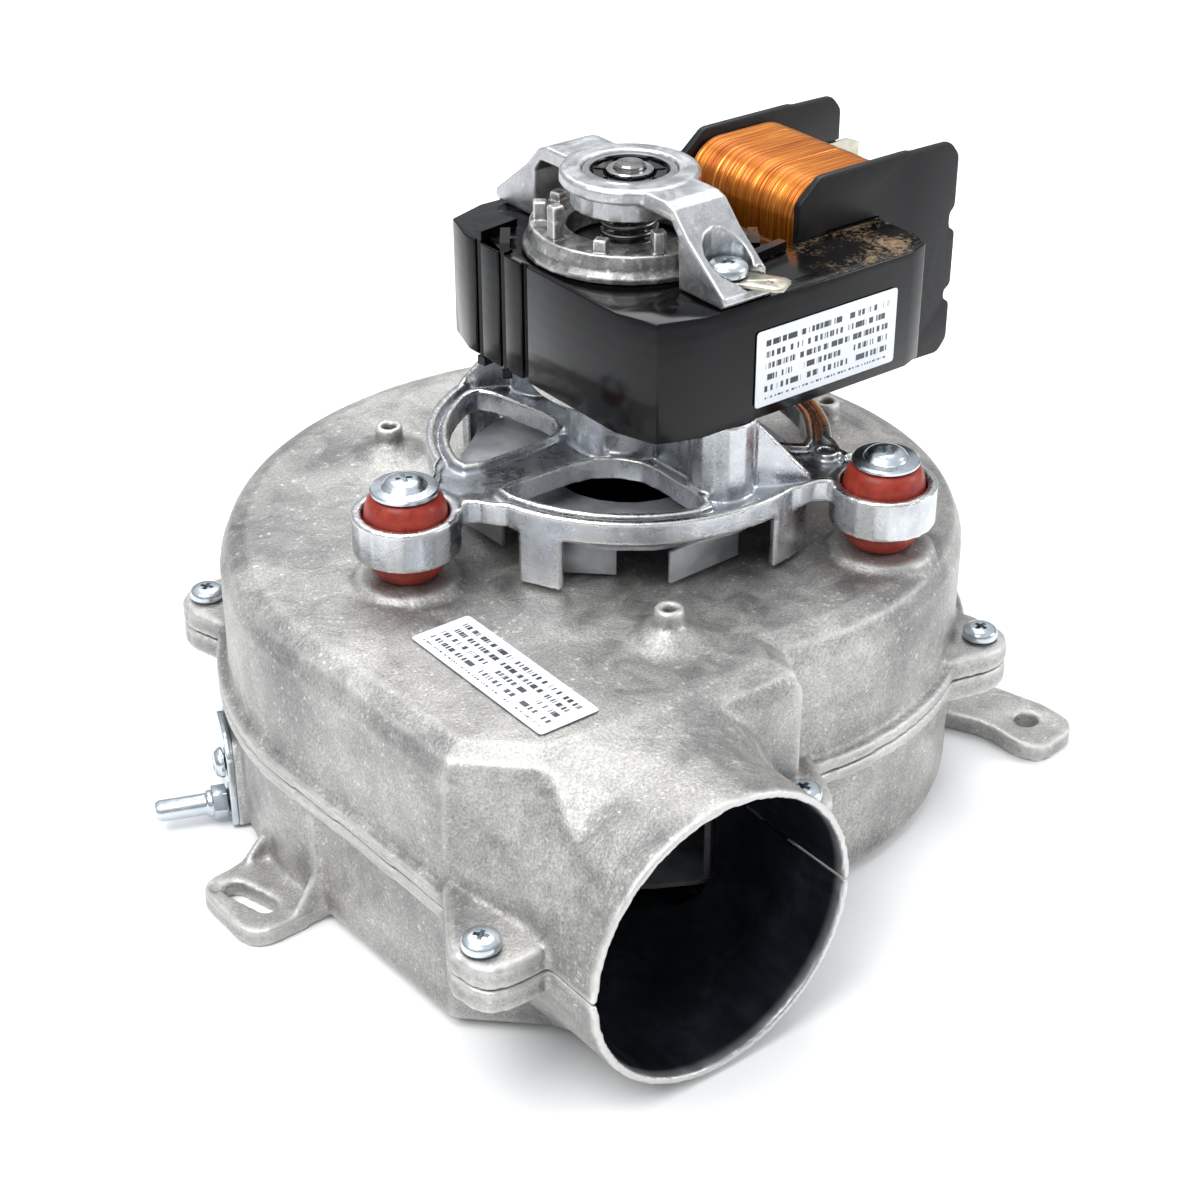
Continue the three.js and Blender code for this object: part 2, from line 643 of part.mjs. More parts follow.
function terminal(z) {
  const outline = [[61, z - 3.1], [74.6, z - 3.1], [78, z - 1.8], [78, z + 1.8], [74.6, z + 3.1], [61, z + 3.1]];
  const shape = new THREE.Shape(outline.map(([x, y]) => new THREE.Vector2(x, y)));
  const geometry = new THREE.ExtrudeGeometry(shape, { depth: 0.8, bevelEnabled: false });
  return toSolid(geometry.rotateX(Math.PI / 2).translate(0, 18, 0));
}

// The upper bearing's carrier: a seat on two legs that step down outside the rotor to the stack.
function bearingBridge() {
  const disc = turned([[0, 132.4], [13.4, 132.4], [14, 133], [14, 134.9], [13.4, bridgeTop], [0, bridgeTop]], 24);
  const cup = drum(11.8, 128.2, 133, 0, 0, 24);
  const side = [
    [8, 132.2], [20.8, 132], [22.8, 129.4], [23.4, stackTop + gap], [36, stackTop + gap], [37, 120.3],
    [36.6, 121.6], [26, 129.8], [21.6, 134.4], [19, 135.3], [8, 135.3],
  ];
  const shape = new THREE.Shape(side.map(([y, z]) => new THREE.Vector2(y, z)));
  const leg = (turn) => {
    const geometry = new THREE.ExtrudeGeometry(shape, { depth: 13, bevelEnabled: false });
    geometry.rotateX(Math.PI / 2).translate(0, 6.5, 0);
    return toSolid(geometry.rotateZ(turn * degrees));
  };
  const body = join(disc, cup, leg(90), leg(-90));
  const seat = drum(bearingRadius + 0.2, upperBearingBottom - 0.2, 140, 0, 0, 24);
  const headRoom = [-1, 1].map((side) => drum(4.9, 121.6, 140, 0, side * bridgeScrewReach, 14));
  const holes = [-1, 1].map((side) => drum(2.3, 115, 140, 0, side * bridgeScrewReach, 10));
  const spadeRoom = block(-3.6, 3.6, -16, 0, 121.6, 124.2, 30).translate([0, -bridgeScrewReach, 0]);
  return cut(body, seat, drum(8.2, 120, 140, 0, 0, 16), headRoom, holes, spadeRoom);
}

function earthTab() {
  const reach = 12;
  const shape = new THREE.Shape();
  shape.moveTo(-3.15, 0);
  shape.lineTo(-3.15, -reach + 1.4);
  shape.lineTo(-2.2, -reach);
  shape.lineTo(2.2, -reach);
  shape.lineTo(3.15, -reach + 1.4);
  shape.lineTo(3.15, 0);
  shape.closePath();
  const blade = new THREE.ExtrudeGeometry(shape, { depth: 0.8, bevelEnabled: false });
  const holes = [drum(2.3, -1, 2, 0, 0, 12), drum(0.8, -1, 2, 0, -8.4, 8)];
  const geometry = toGeometry(cut(join(toSolid(blade), drum(4.3, 0, 0.8)), holes));
  return toSolid(geometry.rotateZ(30 * degrees).translate(0, -bridgeScrewReach, 121.9));
}

// ---------- bearings ----------
function bearingOuter(bottom) {
  return turned([[7.85, bottom], [bearingRadius, bottom], [bearingRadius, bottom + bearingWidth], [7.85, bottom + bearingWidth]], 28);
}

function bearingInner(bottom) {
  const bore = shaftRadius + 0.15;
  return turned([[bore, bottom], [4.65, bottom], [4.65, bottom + bearingWidth], [bore, bottom + bearingWidth]], 20);
}

// Seven balls held in one crown-shaped cage.
function ballSet(bottom) {
  const middle = bottom + bearingWidth / 2;
  const cage = turned([[5.3, middle - 0.6], [7.2, middle - 0.6], [7.2, middle + 2], [5.3, middle + 2]], 14);
  const balls = [];
  for (let i = 0; i < 7; i++) {
    const { x, y } = polar(6.25, (360 * i) / 7);
    balls.push(toSolid(new THREE.SphereGeometry(1.4, 6, 4).translate(x, y, middle)));
  }
  return join(cage, balls);
}

// ---------- turning pieces ----------
function shaft() {
  const profile = [[0, 16], [2.5, 16], [2.5, 25.4], [shaftRadius, 25.4], [shaftRadius, 136], [2.6, 136.4]];
  return turned([...profile, [0, 136.4]], 20);
}

function rotorCore() {
  return cut(drum(rotorRadius, stackBottom + 0.2, stackTop - 0.2, 0, 0, 40), drum(shaftRadius + 0.2, 90, 125, 0, 0, 16));
}

const finHeights = [131.4, 127.2, 128.8, 126.6, 128.9, 126.4, 128.6, 127.4, 126.5, 128.4];

function topEndRing() {
  const low = stackTop + gap;
  const rim = rotorRadius + 1;
  const ring = turned(
    [[12.6, low], [rim, low], [rim, low + 1.2], [20.4, 121.6], [19.8, 124.6], [13.2, 124.6], [12.6, 124]],
    30,
  );
  const fins = finHeights.map((top, i) => {
    const angle = 178 + (360 * i) / finHeights.length;
    return block(16.4, 19, -1.3, 1.3, 123, top, angle);
  });
  return join(ring, fins);
}

function bottomEndRing() {
  const high = stackBottom - 0.1;
  return turned([[12.6, 90.4], [19.6, 90.4], [20.6, 91.4], [20.6, high], [12.6, high]], 30);
}

// The spring between the rotor and the upper bearing, four turns of round wire.
function preloadSpring() {
  class Coil extends THREE.Curve {
    getPoint(share) {
      const { x, y } = polar(5.4, share * 360 * 3.5);
      return new THREE.Vector3(x, y, 119.8 + share * 8.2);
    }
  }
  const wire = new THREE.Shape();
  wire.absarc(0, 0, 0.5, 0, Math.PI * 2);
  return toSolid(new THREE.ExtrudeGeometry(wire, { steps: 32, extrudePath: new Coil(), curveSegments: 3 }));
}

// Stamped wheel that cools the bracket: a dished disc with flaps bent down at its rim.
function coolingWheel() {
  const dish = turned([[3.4, 65], [12, 65], [17, 69.2], [35.4, 69.2], [35.4, 70], [16.6, 70], [11.6, 65.8], [3.4, 65.8]], 24);
  const flaps = [];
  for (let i = 0; i < coolingFlapCount; i++) {
    const geometry = new THREE.BoxGeometry(0.8, 18, 7);
    geometry.rotateZ(14 * degrees).translate(34.4, 0, 66.4).rotateZ((-102 + (360 * i) / coolingFlapCount) * degrees);
    flaps.push(toSolid(geometry));
  }
  return join(dish, flaps);
}

function pushOnClip() {
  const disc = turned([[3.3, 66.1], [6.4, 66.1], [6.4, 66.7], [4.6, 67.4], [3.3, 67.4]], 18);
  const slots = [0, 60, 120].map((turn) => block(-5.4, 5.4, -0.4, 0.4, 66.85, 68, turn));
  return cut(disc, slots);
}

function bladeOutline() {
  const inner = [];
  const outer = [];
  for (let i = 0; i <= 2; i++) {
    const share = i / 2;
    const radius = 40 + share * (impellerRadius - 0.6 - 40);
    const angle = -14 * share * share;
    inner.push(polar(radius, angle - 0.6));
    outer.push(polar(radius, angle + 0.6));
  }
  return new THREE.Shape([...inner, ...outer.reverse()]);
}

function impellerBackPlate() {
  const low = impellerTop - 1;
  return turned([[7, low], [impellerRadius, low], [impellerRadius, impellerTop], [7, impellerTop]], 44);
}

// The blades stand on the ring round the impeller's eye.
function impellerBladeRing() {
  const shroud = turned([[37, 6.6], [40, 5.6], [impellerRadius, impellerBottom], [impellerRadius, 6], [40, 6.6]], 44);
  const blades = [];
  for (let i = 0; i < bladeCount; i++) {
    const geometry = new THREE.ExtrudeGeometry(bladeOutline(), { depth: impellerTop - 1 - gap - 5.8, bevelEnabled: false });
    geometry.rotateZ(((2 * Math.PI) / bladeCount) * i).translate(0, 0, 5.8);
    blades.push(toSolid(geometry));
  }
  return join(shroud, blades);
}

function impellerHub() {
  const flange = impellerTop - 1 - gap;
  const profile = [[3.3, 27.4], [6.7, 27.4], [6.7, flange - 2], [14, flange - 2], [14, flange]];
  return turned([...profile, [6.7, flange], [6.7, 48], [3.3, 48]], 24);
}

function impellerNut() {
  const hexagon = turned([[0, 20.4], [4.6, 20.4], [4.6, 24.4], [0, 24.4]], 6);
  return cut(hexagon, drum(2.8, 18, 30, 0, 0, 14));
}

function lockWasher() {
  return turned([[3.3, 25.4], [5.2, 25.4], [5.2, 26.8], [3.3, 26.8]], 16);
}

// ---------- labels ----------
function motorLabel() {
  const geometry = new THREE.ExtrudeGeometry(softRectangle(2, 38.6, 96.6, 112.6, 0.8), { depth: 0.2, bevelEnabled: false, curveSegments: 3 });
  return toSolid(geometry.rotateX(Math.PI / 2).translate(0, -stackHalfWidth - gap, 0));
}

function casingLabel() {
  return prism(softRectangle(-67.6, -54.2, -61.2, -19.4, 0.8), casingHeight + gap, casingHeight + gap + 0.2);
}

// ---------- assembly ----------
place(casing, "lower_casing", lowerCasing(), dieCast);
place(casing, "upper_casing", upperCasing(), dieCast);
casingScrewPlaces.forEach(([x, y], i) => {
  const screw = crossScrew(x, y, seamHeight + lugThickness + gap, 9.8, 1.9, 3.7);
  place(casing, "casing_screw_" + (i + 1), screw, zincPlate);
});
place(pressureTap, "tap_plate", tapPlate(), zincPlate);
place(pressureTap, "tap_nipple", tapNipple(), zincPlate);
place(pressureTap, "tap_screw", lyingScrew(tapFace + 2 * gap + 1.5, tapScrewSide, tapScrewHeight), zincPlate);
pressureTap.rotation.z = tapAzimuth * degrees;
place(casing, "casing_label", casingLabel(), paper);

place(motor, "motor_bracket", motorBracket(), brightCast);
armAngles.forEach((angle, i) => {
  const { x, y } = polar(armReach, angle);
  place(motor, "grommet_" + (i + 1), grommet(x, y), silicone);
  place(motor, "grommet_sleeve_" + (i + 1), grommetSleeve(x, y), steel);
  place(motor, "grommet_screw_" + (i + 1), crossScrew(x, y, 81.7, 26, 1.9, 4.3, 6.86), zincPlate);
});
place(motor, "stator_frame", statorFrame(), blackLacquer);
place(motor, "coil_leg", block(coilLegLeft, stackRight, -coilHalfLength, coilHalfLength, stackBottom, stackTop), laminatedSteel);
place(motor, "bobbin", bobbin(), blackNylon);
place(motor, "winding", winding(), copperWire);
place(motor, "terminal_1", terminal(117), tinned);
place(motor, "terminal_2", terminal(97), tinned);
shadingRings.forEach((legs, i) => {
  place(motor, "shading_ring_back_" + (i + 1), shadingRing(legs, 0), blackLacquer);
  place(motor, "shading_ring_front_" + (i + 1), shadingRing(legs, 180), blackLacquer);
});
place(motor, "bearing_bridge", bearingBridge(), brightCast);
place(motor, "earth_tab", earthTab(), tinned);
place(motor, "bridge_screw_front", crossScrew(0, -bridgeScrewReach, 123, 39, 1.9, 4), zincPlate);
place(motor, "bridge_screw_back", crossScrew(0, bridgeScrewReach, 121.9, 38, 1.9, 4), zincPlate);
place(motor, "motor_label", motorLabel(), paper);
place(motor, "lower_bearing_outer_ring", bearingOuter(lowerBearingBottom), bearingSteel);
place(motor, "upper_bearing_outer_ring", bearingOuter(upperBearingBottom), bearingSteel);
place(motor, "lower_bearing_balls", ballSet(lowerBearingBottom), blackNylon);
place(motor, "upper_bearing_balls", ballSet(upperBearingBottom), blackNylon);

place(rotor, "shaft", shaft(), steel);
place(rotor, "lower_bearing_inner_ring", bearingInner(lowerBearingBottom), bearingSteel);
place(rotor, "upper_bearing_inner_ring", bearingInner(upperBearingBottom), bearingSteel);
place(rotor, "rotor_core", rotorCore(), laminatedSteel);
place(rotor, "rotor_top_end_ring", topEndRing(), brightCast);
place(rotor, "rotor_bottom_end_ring", bottomEndRing(), brightCast);
place(rotor, "preload_spring", preloadSpring(), steel);
place(rotor, "cooling_wheel", coolingWheel(), stampedAluminium);
place(rotor, "cooling_wheel_clip", pushOnClip(), steel);
place(rotor, "impeller_back_plate", impellerBackPlate(), stampedAluminium);
place(rotor, "impeller_blade_ring", impellerBladeRing(), stampedAluminium);
place(rotor, "impeller_hub", impellerHub(), steel);
place(rotor, "impeller_nut", impellerNut(), zincPlate);
place(rotor, "impeller_washer", lockWasher(), zincPlate);

// The origin is the middle of the footprint, on the plane that the casing stands on.
const footprint = new THREE.Box3().setFromObject(fan);
const middle = footprint.getCenter(new THREE.Vector3());
fan.position.set(-middle.x, -middle.y, -footprint.min.z);

export default fan;
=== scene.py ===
import math
import random

import bmesh
import bpy
from mathutils import Matrix, Vector


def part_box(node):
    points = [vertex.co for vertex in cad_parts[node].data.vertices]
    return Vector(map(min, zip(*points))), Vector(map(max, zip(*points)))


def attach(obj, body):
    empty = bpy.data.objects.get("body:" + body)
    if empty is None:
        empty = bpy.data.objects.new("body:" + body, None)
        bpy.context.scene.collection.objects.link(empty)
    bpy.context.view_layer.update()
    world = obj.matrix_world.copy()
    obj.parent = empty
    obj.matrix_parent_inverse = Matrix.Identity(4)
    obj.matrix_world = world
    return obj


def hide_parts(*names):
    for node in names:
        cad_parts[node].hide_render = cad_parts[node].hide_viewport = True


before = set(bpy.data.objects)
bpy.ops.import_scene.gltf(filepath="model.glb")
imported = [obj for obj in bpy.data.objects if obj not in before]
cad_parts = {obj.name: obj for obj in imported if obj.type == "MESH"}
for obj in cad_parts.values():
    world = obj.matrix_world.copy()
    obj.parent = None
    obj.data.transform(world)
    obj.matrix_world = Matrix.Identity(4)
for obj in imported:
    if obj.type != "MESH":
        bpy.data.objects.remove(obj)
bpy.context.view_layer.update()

# Pieces are drawn in millimetres round the shaft, x = y = 0, and set into the frame's metres at the end.
shaftLow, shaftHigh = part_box("shaft")
axisPoint = Vector(((shaftLow.x + shaftHigh.x) / 2, (shaftLow.y + shaftHigh.y) / 2, 0))
toFrame = Matrix.Translation(axisPoint) @ Matrix.Scale(0.001, 4)
fromFrame = toFrame.inverted()


def cadBox(nodeName):
    low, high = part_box(nodeName)
    return fromFrame @ low, fromFrame @ high


def spun(profile, steps=64, angle=360.0):
    bm = bmesh.new()
    verts = [bm.verts.new((r, 0, z)) for r, z in profile]
    edges = [bm.edges.new(pair) for pair in zip(verts, verts[1:])]
    full = angle == 360.0
    bmesh.ops.spin(bm, geom=verts + edges, cent=(0, 0, 0), axis=(0, 0, 1), angle=math.radians(angle),
                   steps=steps, use_merge=full)
    bmesh.ops.remove_doubles(bm, verts=bm.verts, dist=1e-4)
    bmesh.ops.recalc_face_normals(bm, faces=bm.faces)
    return bm


def brick(low, high):
    bm = bmesh.new()
    low, high = Vector(low), Vector(high)
    bmesh.ops.create_cube(bm, size=1)
    bmesh.ops.scale(bm, vec=high - low, verts=bm.verts)
    bmesh.ops.translate(bm, vec=(low + high) / 2, verts=bm.verts)
    return bm


def turned(bm, angle, axis="Z"):
    bmesh.ops.rotate(bm, matrix=Matrix.Rotation(math.radians(angle), 3, axis), verts=bm.verts)
    return bm


def moved(bm, x, y, z=0.0):
    bmesh.ops.translate(bm, vec=(x, y, z), verts=bm.verts)
    return bm


def softened(bm, width, segments=2, sharper=35):
    edges = [e for e in bm.edges if len(e.link_faces) == 2 and e.calc_face_angle(0) > math.radians(sharper)]
    bmesh.ops.bevel(bm, geom=edges, offset=width, segments=segments, profile=0.5, affect="EDGES", material=-1)
    return bm


def joined(*parts):
    whole = bmesh.new()
    for part in parts:
        mesh = bpy.data.meshes.new("part")
        part.to_mesh(mesh)
        part.free()
        whole.from_mesh(mesh)
        bpy.data.meshes.remove(mesh)
    return whole


def workObject(bm):
    mesh = bpy.data.meshes.new("work")
    bm.to_mesh(mesh)
    bm.free()
    made = bpy.data.objects.new("work", mesh)
    bpy.context.scene.collection.objects.link(made)
    return made


def evaluated(made):
    bpy.context.view_layer.update()
    bm = bmesh.new()
    bm.from_object(made, bpy.context.evaluated_depsgraph_get())
    mesh = made.data
    bpy.data.objects.remove(made)
    bpy.data.meshes.remove(mesh)
    return bm


def carved(bm, tool, operation="DIFFERENCE"):
    target, other = workObject(bm), workObject(tool)
    modifier = target.modifiers.new("cut", "BOOLEAN")
    modifier.operation, modifier.object, modifier.solver = operation, other, "EXACT"
    result = evaluated(target)
    mesh = other.data
    bpy.data.objects.remove(other)
    bpy.data.meshes.remove(mesh)
    return result


# A CAD node's own shape with its edges melted round, as a casting leaves the die.
def castCopy(nodeName, voxel, smoothing, keep):
    bm = bmesh.new()
    bm.from_mesh(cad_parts[nodeName].data)
    bmesh.ops.transform(bm, matrix=fromFrame, verts=bm.verts)
    bmesh.ops.remove_doubles(bm, verts=bm.verts, dist=1e-3)
    made = workObject(bm)
    remesh = made.modifiers.new("skin", "REMESH")
    remesh.mode, remesh.voxel_size = "VOXEL", voxel
    smooth = made.modifiers.new("soft", "SMOOTH")
    smooth.factor, smooth.iterations = 0.5, smoothing
    if keep < 1:
        thin = made.modifiers.new("thin", "DECIMATE")
        thin.ratio = keep
    return evaluated(made)


def cadCopy(nodeName, bevelWidth=0.2):
    bm = bmesh.new()
    bm.from_mesh(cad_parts[nodeName].data)
    bmesh.ops.transform(bm, matrix=fromFrame, verts=bm.verts)
    bmesh.ops.remove_doubles(bm, verts=bm.verts, dist=1e-3)
    bmesh.ops.dissolve_limit(bm, angle_limit=math.radians(1), verts=bm.verts, edges=bm.edges)
    if bevelWidth:
        softened(bm, bevelWidth, 2, 30)
    return bm


# Pushes the flats of an arc drawn in equal steps out to the true round.
def rounder(bm, centre, normal, step, nearest, farthest, first=-180.0, last=180.0):
    half = math.radians(step / 2)
    for vert in bm.verts:
        offset = vert.co - Vector(centre)
        across, up = (offset.x, offset.y) if normal == "Z" else (offset.x, offset.z)
        radius = math.hypot(across, up)
        angle = math.degrees(math.atan2(up, across))
        if not (nearest < radius < farthest and first <= angle <= last):
            continue
        weight = min(1.0, (radius - nearest) / 3)
        share = math.radians((angle - first) % step) - half
        grow = 1 + (math.cos(share) / math.cos(half) - 1) * weight
        if normal == "Z":
            vert.co.x, vert.co.y = centre[0] + across * grow, centre[1] + up * grow
        else:
            vert.co.x, vert.co.z = centre[0] + across * grow, centre[2] + up * grow
    return bm


def finished(bm, name, body, slotName, materials, *cadNodes, sharper=40):
    bmesh.ops.transform(bm, matrix=toFrame, verts=bm.verts)
    mesh = bpy.data.meshes.new(name)
    bm.to_mesh(mesh)
    bm.free()
    for polygon in mesh.polygons:
        polygon.use_smooth = True
    mesh.set_sharp_from_angle(angle=math.radians(sharper))
    for material in materials if isinstance(materials, list) else [materials]:
        mesh.materials.append(material)
    piece = bpy.data.objects.new(name, mesh)
    bpy.context.scene.collection.objects.link(piece)
    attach(piece, body)
    if cadNodes:
        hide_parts(*cadNodes)
    return piece


def linear(code):
    channels = [int(code[i:i + 2], 16) / 255 for i in (1, 3, 5)]
    return tuple(c / 12.92 if c <= 0.04045 else ((c + 0.055) / 1.055) ** 2.4 for c in channels) + (1.0,)


def addNode(tree, kind, inputs=None, **settings):
    made = tree.nodes.new("ShaderNode" + kind)
    for key, value in settings.items():
        setattr(made, key, value)
    for socket, value in (inputs or {}).items():
        if isinstance(value, bpy.types.NodeSocket):
            tree.links.new(value, made.inputs[socket])
        else:
            made.inputs[socket].default_value = value
    return made


def newMaterial(name):
    material = bpy.data.materials.new(name)
    material.use_nodes = True
    tree = material.node_tree
    shader = tree.nodes["Principled BSDF"]
    place = addNode(tree, "TexCoord").outputs["Object"]
    return material, tree, shader, place


def ramp(tree, factor, stops, interpolation="LINEAR"):
    made = addNode(tree, "ValToRGB", {"Fac": factor})
    made.color_ramp.interpolation = interpolation
    elements = made.color_ramp.elements
    while len(elements) < len(stops):
        elements.new(0.5)
    for element, (position, colour) in zip(elements, stops):
        element.position = position
        element.color = linear(colour) if isinstance(colour, str) else (colour, colour, colour, 1)
    return made.outputs["Color"]


# Raw die-cast aluminium: a frosted skin with grey flow marks, painted glints of light on the grain and painted
# highlights along the convex edges.
def castSkin(name, look):
    material, tree, shader, place = newMaterial(name)
    clouds = addNode(tree, "TexNoise", {"Vector": place, "Scale": 1000 / look["cloud"], "Detail": 6.0,
                                        "Roughness": 0.62})
    flow = addNode(tree, "TexNoise", {"Vector": place, "Scale": 1000 / look["flow"], "Detail": 5.0, "Roughness": 0.68,
                                      "Distortion": 0.8})
    sand = addNode(tree, "TexNoise", {"Vector": place, "Scale": 1000 / look["grain"], "Detail": 2.0, "Roughness": 0.6})
    cells = addNode(tree, "TexVoronoi", {"Vector": place, "Scale": 1000 / look["glint"], "Randomness": 1.0})
    tone = ramp(tree, clouds.outputs["Fac"], [(0.34, look["dark"]), (0.62, look["light"])])
    veins = ramp(tree, flow.outputs["Fac"], [(0.36, 1 - look["mottle"]), (0.60, 1.0)])
    mottled = addNode(tree, "Mix", {"Factor": 1.0, "A": tone, "B": veins}, data_type="RGBA", blend_type="MULTIPLY")
    grit = ramp(tree, sand.outputs["Fac"], [(0.32, 1 - look["grit"]), (0.66, 1.0)])
    gritty = addNode(tree, "Mix", {"Factor": 1.0, "A": mottled.outputs["Result"], "B": grit}, data_type="RGBA",
                     blend_type="MULTIPLY")
    cellShade = addNode(tree, "SeparateColor", {"Color": cells.outputs["Color"]}).outputs["Red"]
    # Painted highlights: bright glint spots from the cell pattern, gated by the flow marks, are mixed into the base
    # colour.
    glints = ramp(tree, cellShade, [(1 - look["glints"], 0.0), (1.0, 0.9)])
    patchy = ramp(tree, flow.outputs["Fac"], [(0.42, 0.12), (0.62, 1.0)])
    paintedGlintMask = addNode(tree, "Math", {0: glints, 1: patchy}, operation="MULTIPLY", use_clamp=True).outputs["Value"]
    sparkled = addNode(tree, "Mix", {"Factor": paintedGlintMask, "A": gritty.outputs["Result"], "B": linear("#dddad4")},
                       data_type="RGBA")
    # Painted highlight: convex edges, found by pointiness, are mixed towards a light grey in the base colour.
    edge = ramp(tree, addNode(tree, "NewGeometry").outputs["Pointiness"], [(0.505, 0.0), (0.505 + look["paintedEdgeHighlight"], 1.0)])
    edgeHighlighted = addNode(tree, "Mix", {"Factor": edge, "A": sparkled.outputs["Result"], "B": linear("#d6d5d2")},
                   data_type="RGBA")
    rough = addNode(tree, "MapRange", {"Value": flow.outputs["Fac"], "From Min": 0.35, "From Max": 0.65,
                                       "To Min": look["rough"][0], "To Max": look["rough"][1]})
    coarse = addNode(tree, "Bump", {"Strength": 0.6, "Distance": look["depth"] * 5, "Height": flow.outputs["Fac"]})
    fine = addNode(tree, "Bump", {"Strength": 0.9, "Distance": look["depth"], "Height": sand.outputs["Fac"],
                                  "Normal": coarse.outputs["Normal"]})
    pits = addNode(tree, "Bump", {"Strength": 0.6, "Distance": look["depth"], "Height": cellShade,
                                  "Normal": fine.outputs["Normal"]})
    tree.links.new(edgeHighlighted.outputs["Result"], shader.inputs["Base Color"])
    tree.links.new(rough.outputs["Result"], shader.inputs["Roughness"])
    tree.links.new(pits.outputs["Normal"], shader.inputs["Normal"])
    shader.inputs["Metallic"].default_value = look["metallic"]
    return material


# Smooth coatings, plastics and plated steel: one colour with a faint cloud, tiny bumps and uneven gloss.
def plainSkin(name, light, dark, metallic, roughLow, roughHigh, patch, depth, coat=0.0, ior=None):
    material, tree, shader, place = newMaterial(name)
    clouds = addNode(tree, "TexNoise", {"Vector": place, "Scale": 1000 / patch, "Detail": 4.0, "Roughness": 0.6})
    grain = addNode(tree, "TexNoise", {"Vector": place, "Scale": 6000 / patch, "Detail": 2.0})
    tone = ramp(tree, clouds.outputs["Fac"], [(0.32, dark), (0.66, light)])
    rough = addNode(tree, "MapRange", {"Value": clouds.outputs["Fac"], "From Min": 0.3, "From Max": 0.7,
                                       "To Min": roughLow, "To Max": roughHigh})
    bump = addNode(tree, "Bump", {"Strength": 0.5, "Distance": depth, "Height": grain.outputs["Fac"]})
    tree.links.new(tone, shader.inputs["Base Color"])
    tree.links.new(rough.outputs["Result"], shader.inputs["Roughness"])
    tree.links.new(bump.outputs["Normal"], shader.inputs["Normal"])
    shader.inputs["Metallic"].default_value = metallic
    shader.inputs["Coat Weight"].default_value = coat
    if ior:
        shader.inputs["IOR"].default_value = ior
    return material


# cloud, flow, grain and glint are feature sizes in mm; the sand grain is drawn 0.5 mm wide so that it shows.
castLooks = {
    "sandTexturedDieCastAluminium": {"light": "#cfcdc9", "dark": "#9a9998", "cloud": 34, "flow": 7, "grain": 0.5,
                                     "glint": 0.6, "glints": 0.09, "mottle": 0.24, "grit": 0.36, "paintedEdgeHighlight": 0.05,
                                     "rough": (0.42, 0.62), "depth": 0.0001, "metallic": 0.88},
    "smoothDieCastAluminium": {"light": "#d6d9dd", "dark": "#aaafb5", "cloud": 16, "flow": 5, "grain": 0.45,
                               "glint": 0.8, "glints": 0.04, "mottle": 0.10, "grit": 0.10, "paintedEdgeHighlight": 0.03,
                               "rough": (0.20, 0.38), "depth": 0.00004, "metallic": 1.0},
    "rotorCastAluminium": {"light": "#c4c4c3", "dark": "#85847f", "cloud": 9, "flow": 3.5, "grain": 0.4,
                           "glint": 0.8, "glints": 0.1, "mottle": 0.4, "grit": 0.25, "paintedEdgeHighlight": 0.03,
                           "rough": (0.24, 0.5), "depth": 0.00005, "metallic": 0.95},
    "mattedDieCastAluminium": {"light": "#d0d2d4", "dark": "#abadb0", "cloud": 12, "flow": 5, "grain": 0.45,
                               "glint": 0.7, "glints": 0.08, "mottle": 0.16, "grit": 0.16, "paintedEdgeHighlight": 0.03,
                               "rough": (0.28, 0.46), "depth": 0.00004, "metallic": 0.95},
}
casingSkin, bracketSkin, rotorSkin, bridgeSkin = [castSkin(name, look) for name, look in castLooks.items()]
zincSkin = plainSkin("brightZincPlatedSteel", "#d4dade", "#b3bdc6", 1.0, 0.16, 0.3, 6, 0.00001)
steelSkin = plainSkin("turnedBareSteel", "#a9a8a5", "#7f7d7a", 1.0, 0.22, 0.38, 4, 0.00001)
bearingSkin = plainSkin("groundBearingSteel", "#cfd0d0", "#b6b7b8", 1.0, 0.12, 0.22, 5, 0.000004)
retainerSkin = plainSkin("blackBearingShield", "#1b1a19", "#0e0d0d", 0.4, 0.3, 0.5, 3, 0.00002)
siliconeSkin = plainSkin("mouldedRedSilicone", "#9c3322", "#7c1f13", 0.0, 0.38, 0.55, 2.5, 0.00004, 0.1, 1.41)
nylonSkin = plainSkin("mouldedBlackGlassNylon", "#151517", "#0c0c0d", 0.0, 0.34, 0.5, 1.2, 0.00003, 0.0, 1.53)
nylonSkin.node_tree.nodes["Principled BSDF"].inputs["Specular IOR Level"].default_value = 0.25
tinSkin = plainSkin("dullTinnedBrass", "#cfccc0", "#aaa696", 0.95, 0.28, 0.42, 3, 0.00002)
stampedSkin = plainSkin("stampedAluminiumSheet", "#b9bbbe", "#8f9195", 0.6, 0.34, 0.55, 8, 0.00002)
laminationSkin = plainSkin("bareElectricalSteel", "#5c5c5f", "#3b3b3e", 1.0, 0.35, 0.5, 2, 0.00003)

# Black dipping varnish over 0.5 mm laminations: glossy, the sheet edges just showing, dust by the coil.
material, tree, shader, place = newMaterial("blackDippedLaminations")
lacquerSkin = material
layers = addNode(tree, "TexWave", {"Vector": place, "Scale": 1000 / 0.5 / 20, "Distortion": 0.4,
                                   "Detail": 1.0, "Detail Scale": 60.0}, wave_type="BANDS", bands_direction="Z")
runs = addNode(tree, "TexNoise", {"Vector": place, "Scale": 90.0, "Detail": 3.0})
upward = addNode(tree, "SeparateXYZ", {"Vector": addNode(tree, "NewGeometry").outputs["Normal"]}).outputs["Z"]
spot = addNode(tree, "SeparateXYZ", {"Vector": place})
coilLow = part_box("coil_leg")[0]
nearCoil = addNode(tree, "MapRange", {"Value": spot.outputs["X"], "From Min": coilLow.x - 0.022,
                                      "From Max": coilLow.x - 0.002, "To Min": 0.0, "To Max": 1.0},
                   interpolation_type="SMOOTHSTEP")
dustGrain = addNode(tree, "TexNoise", {"Vector": place, "Scale": 900.0, "Detail": 5.0, "Roughness": 0.75})
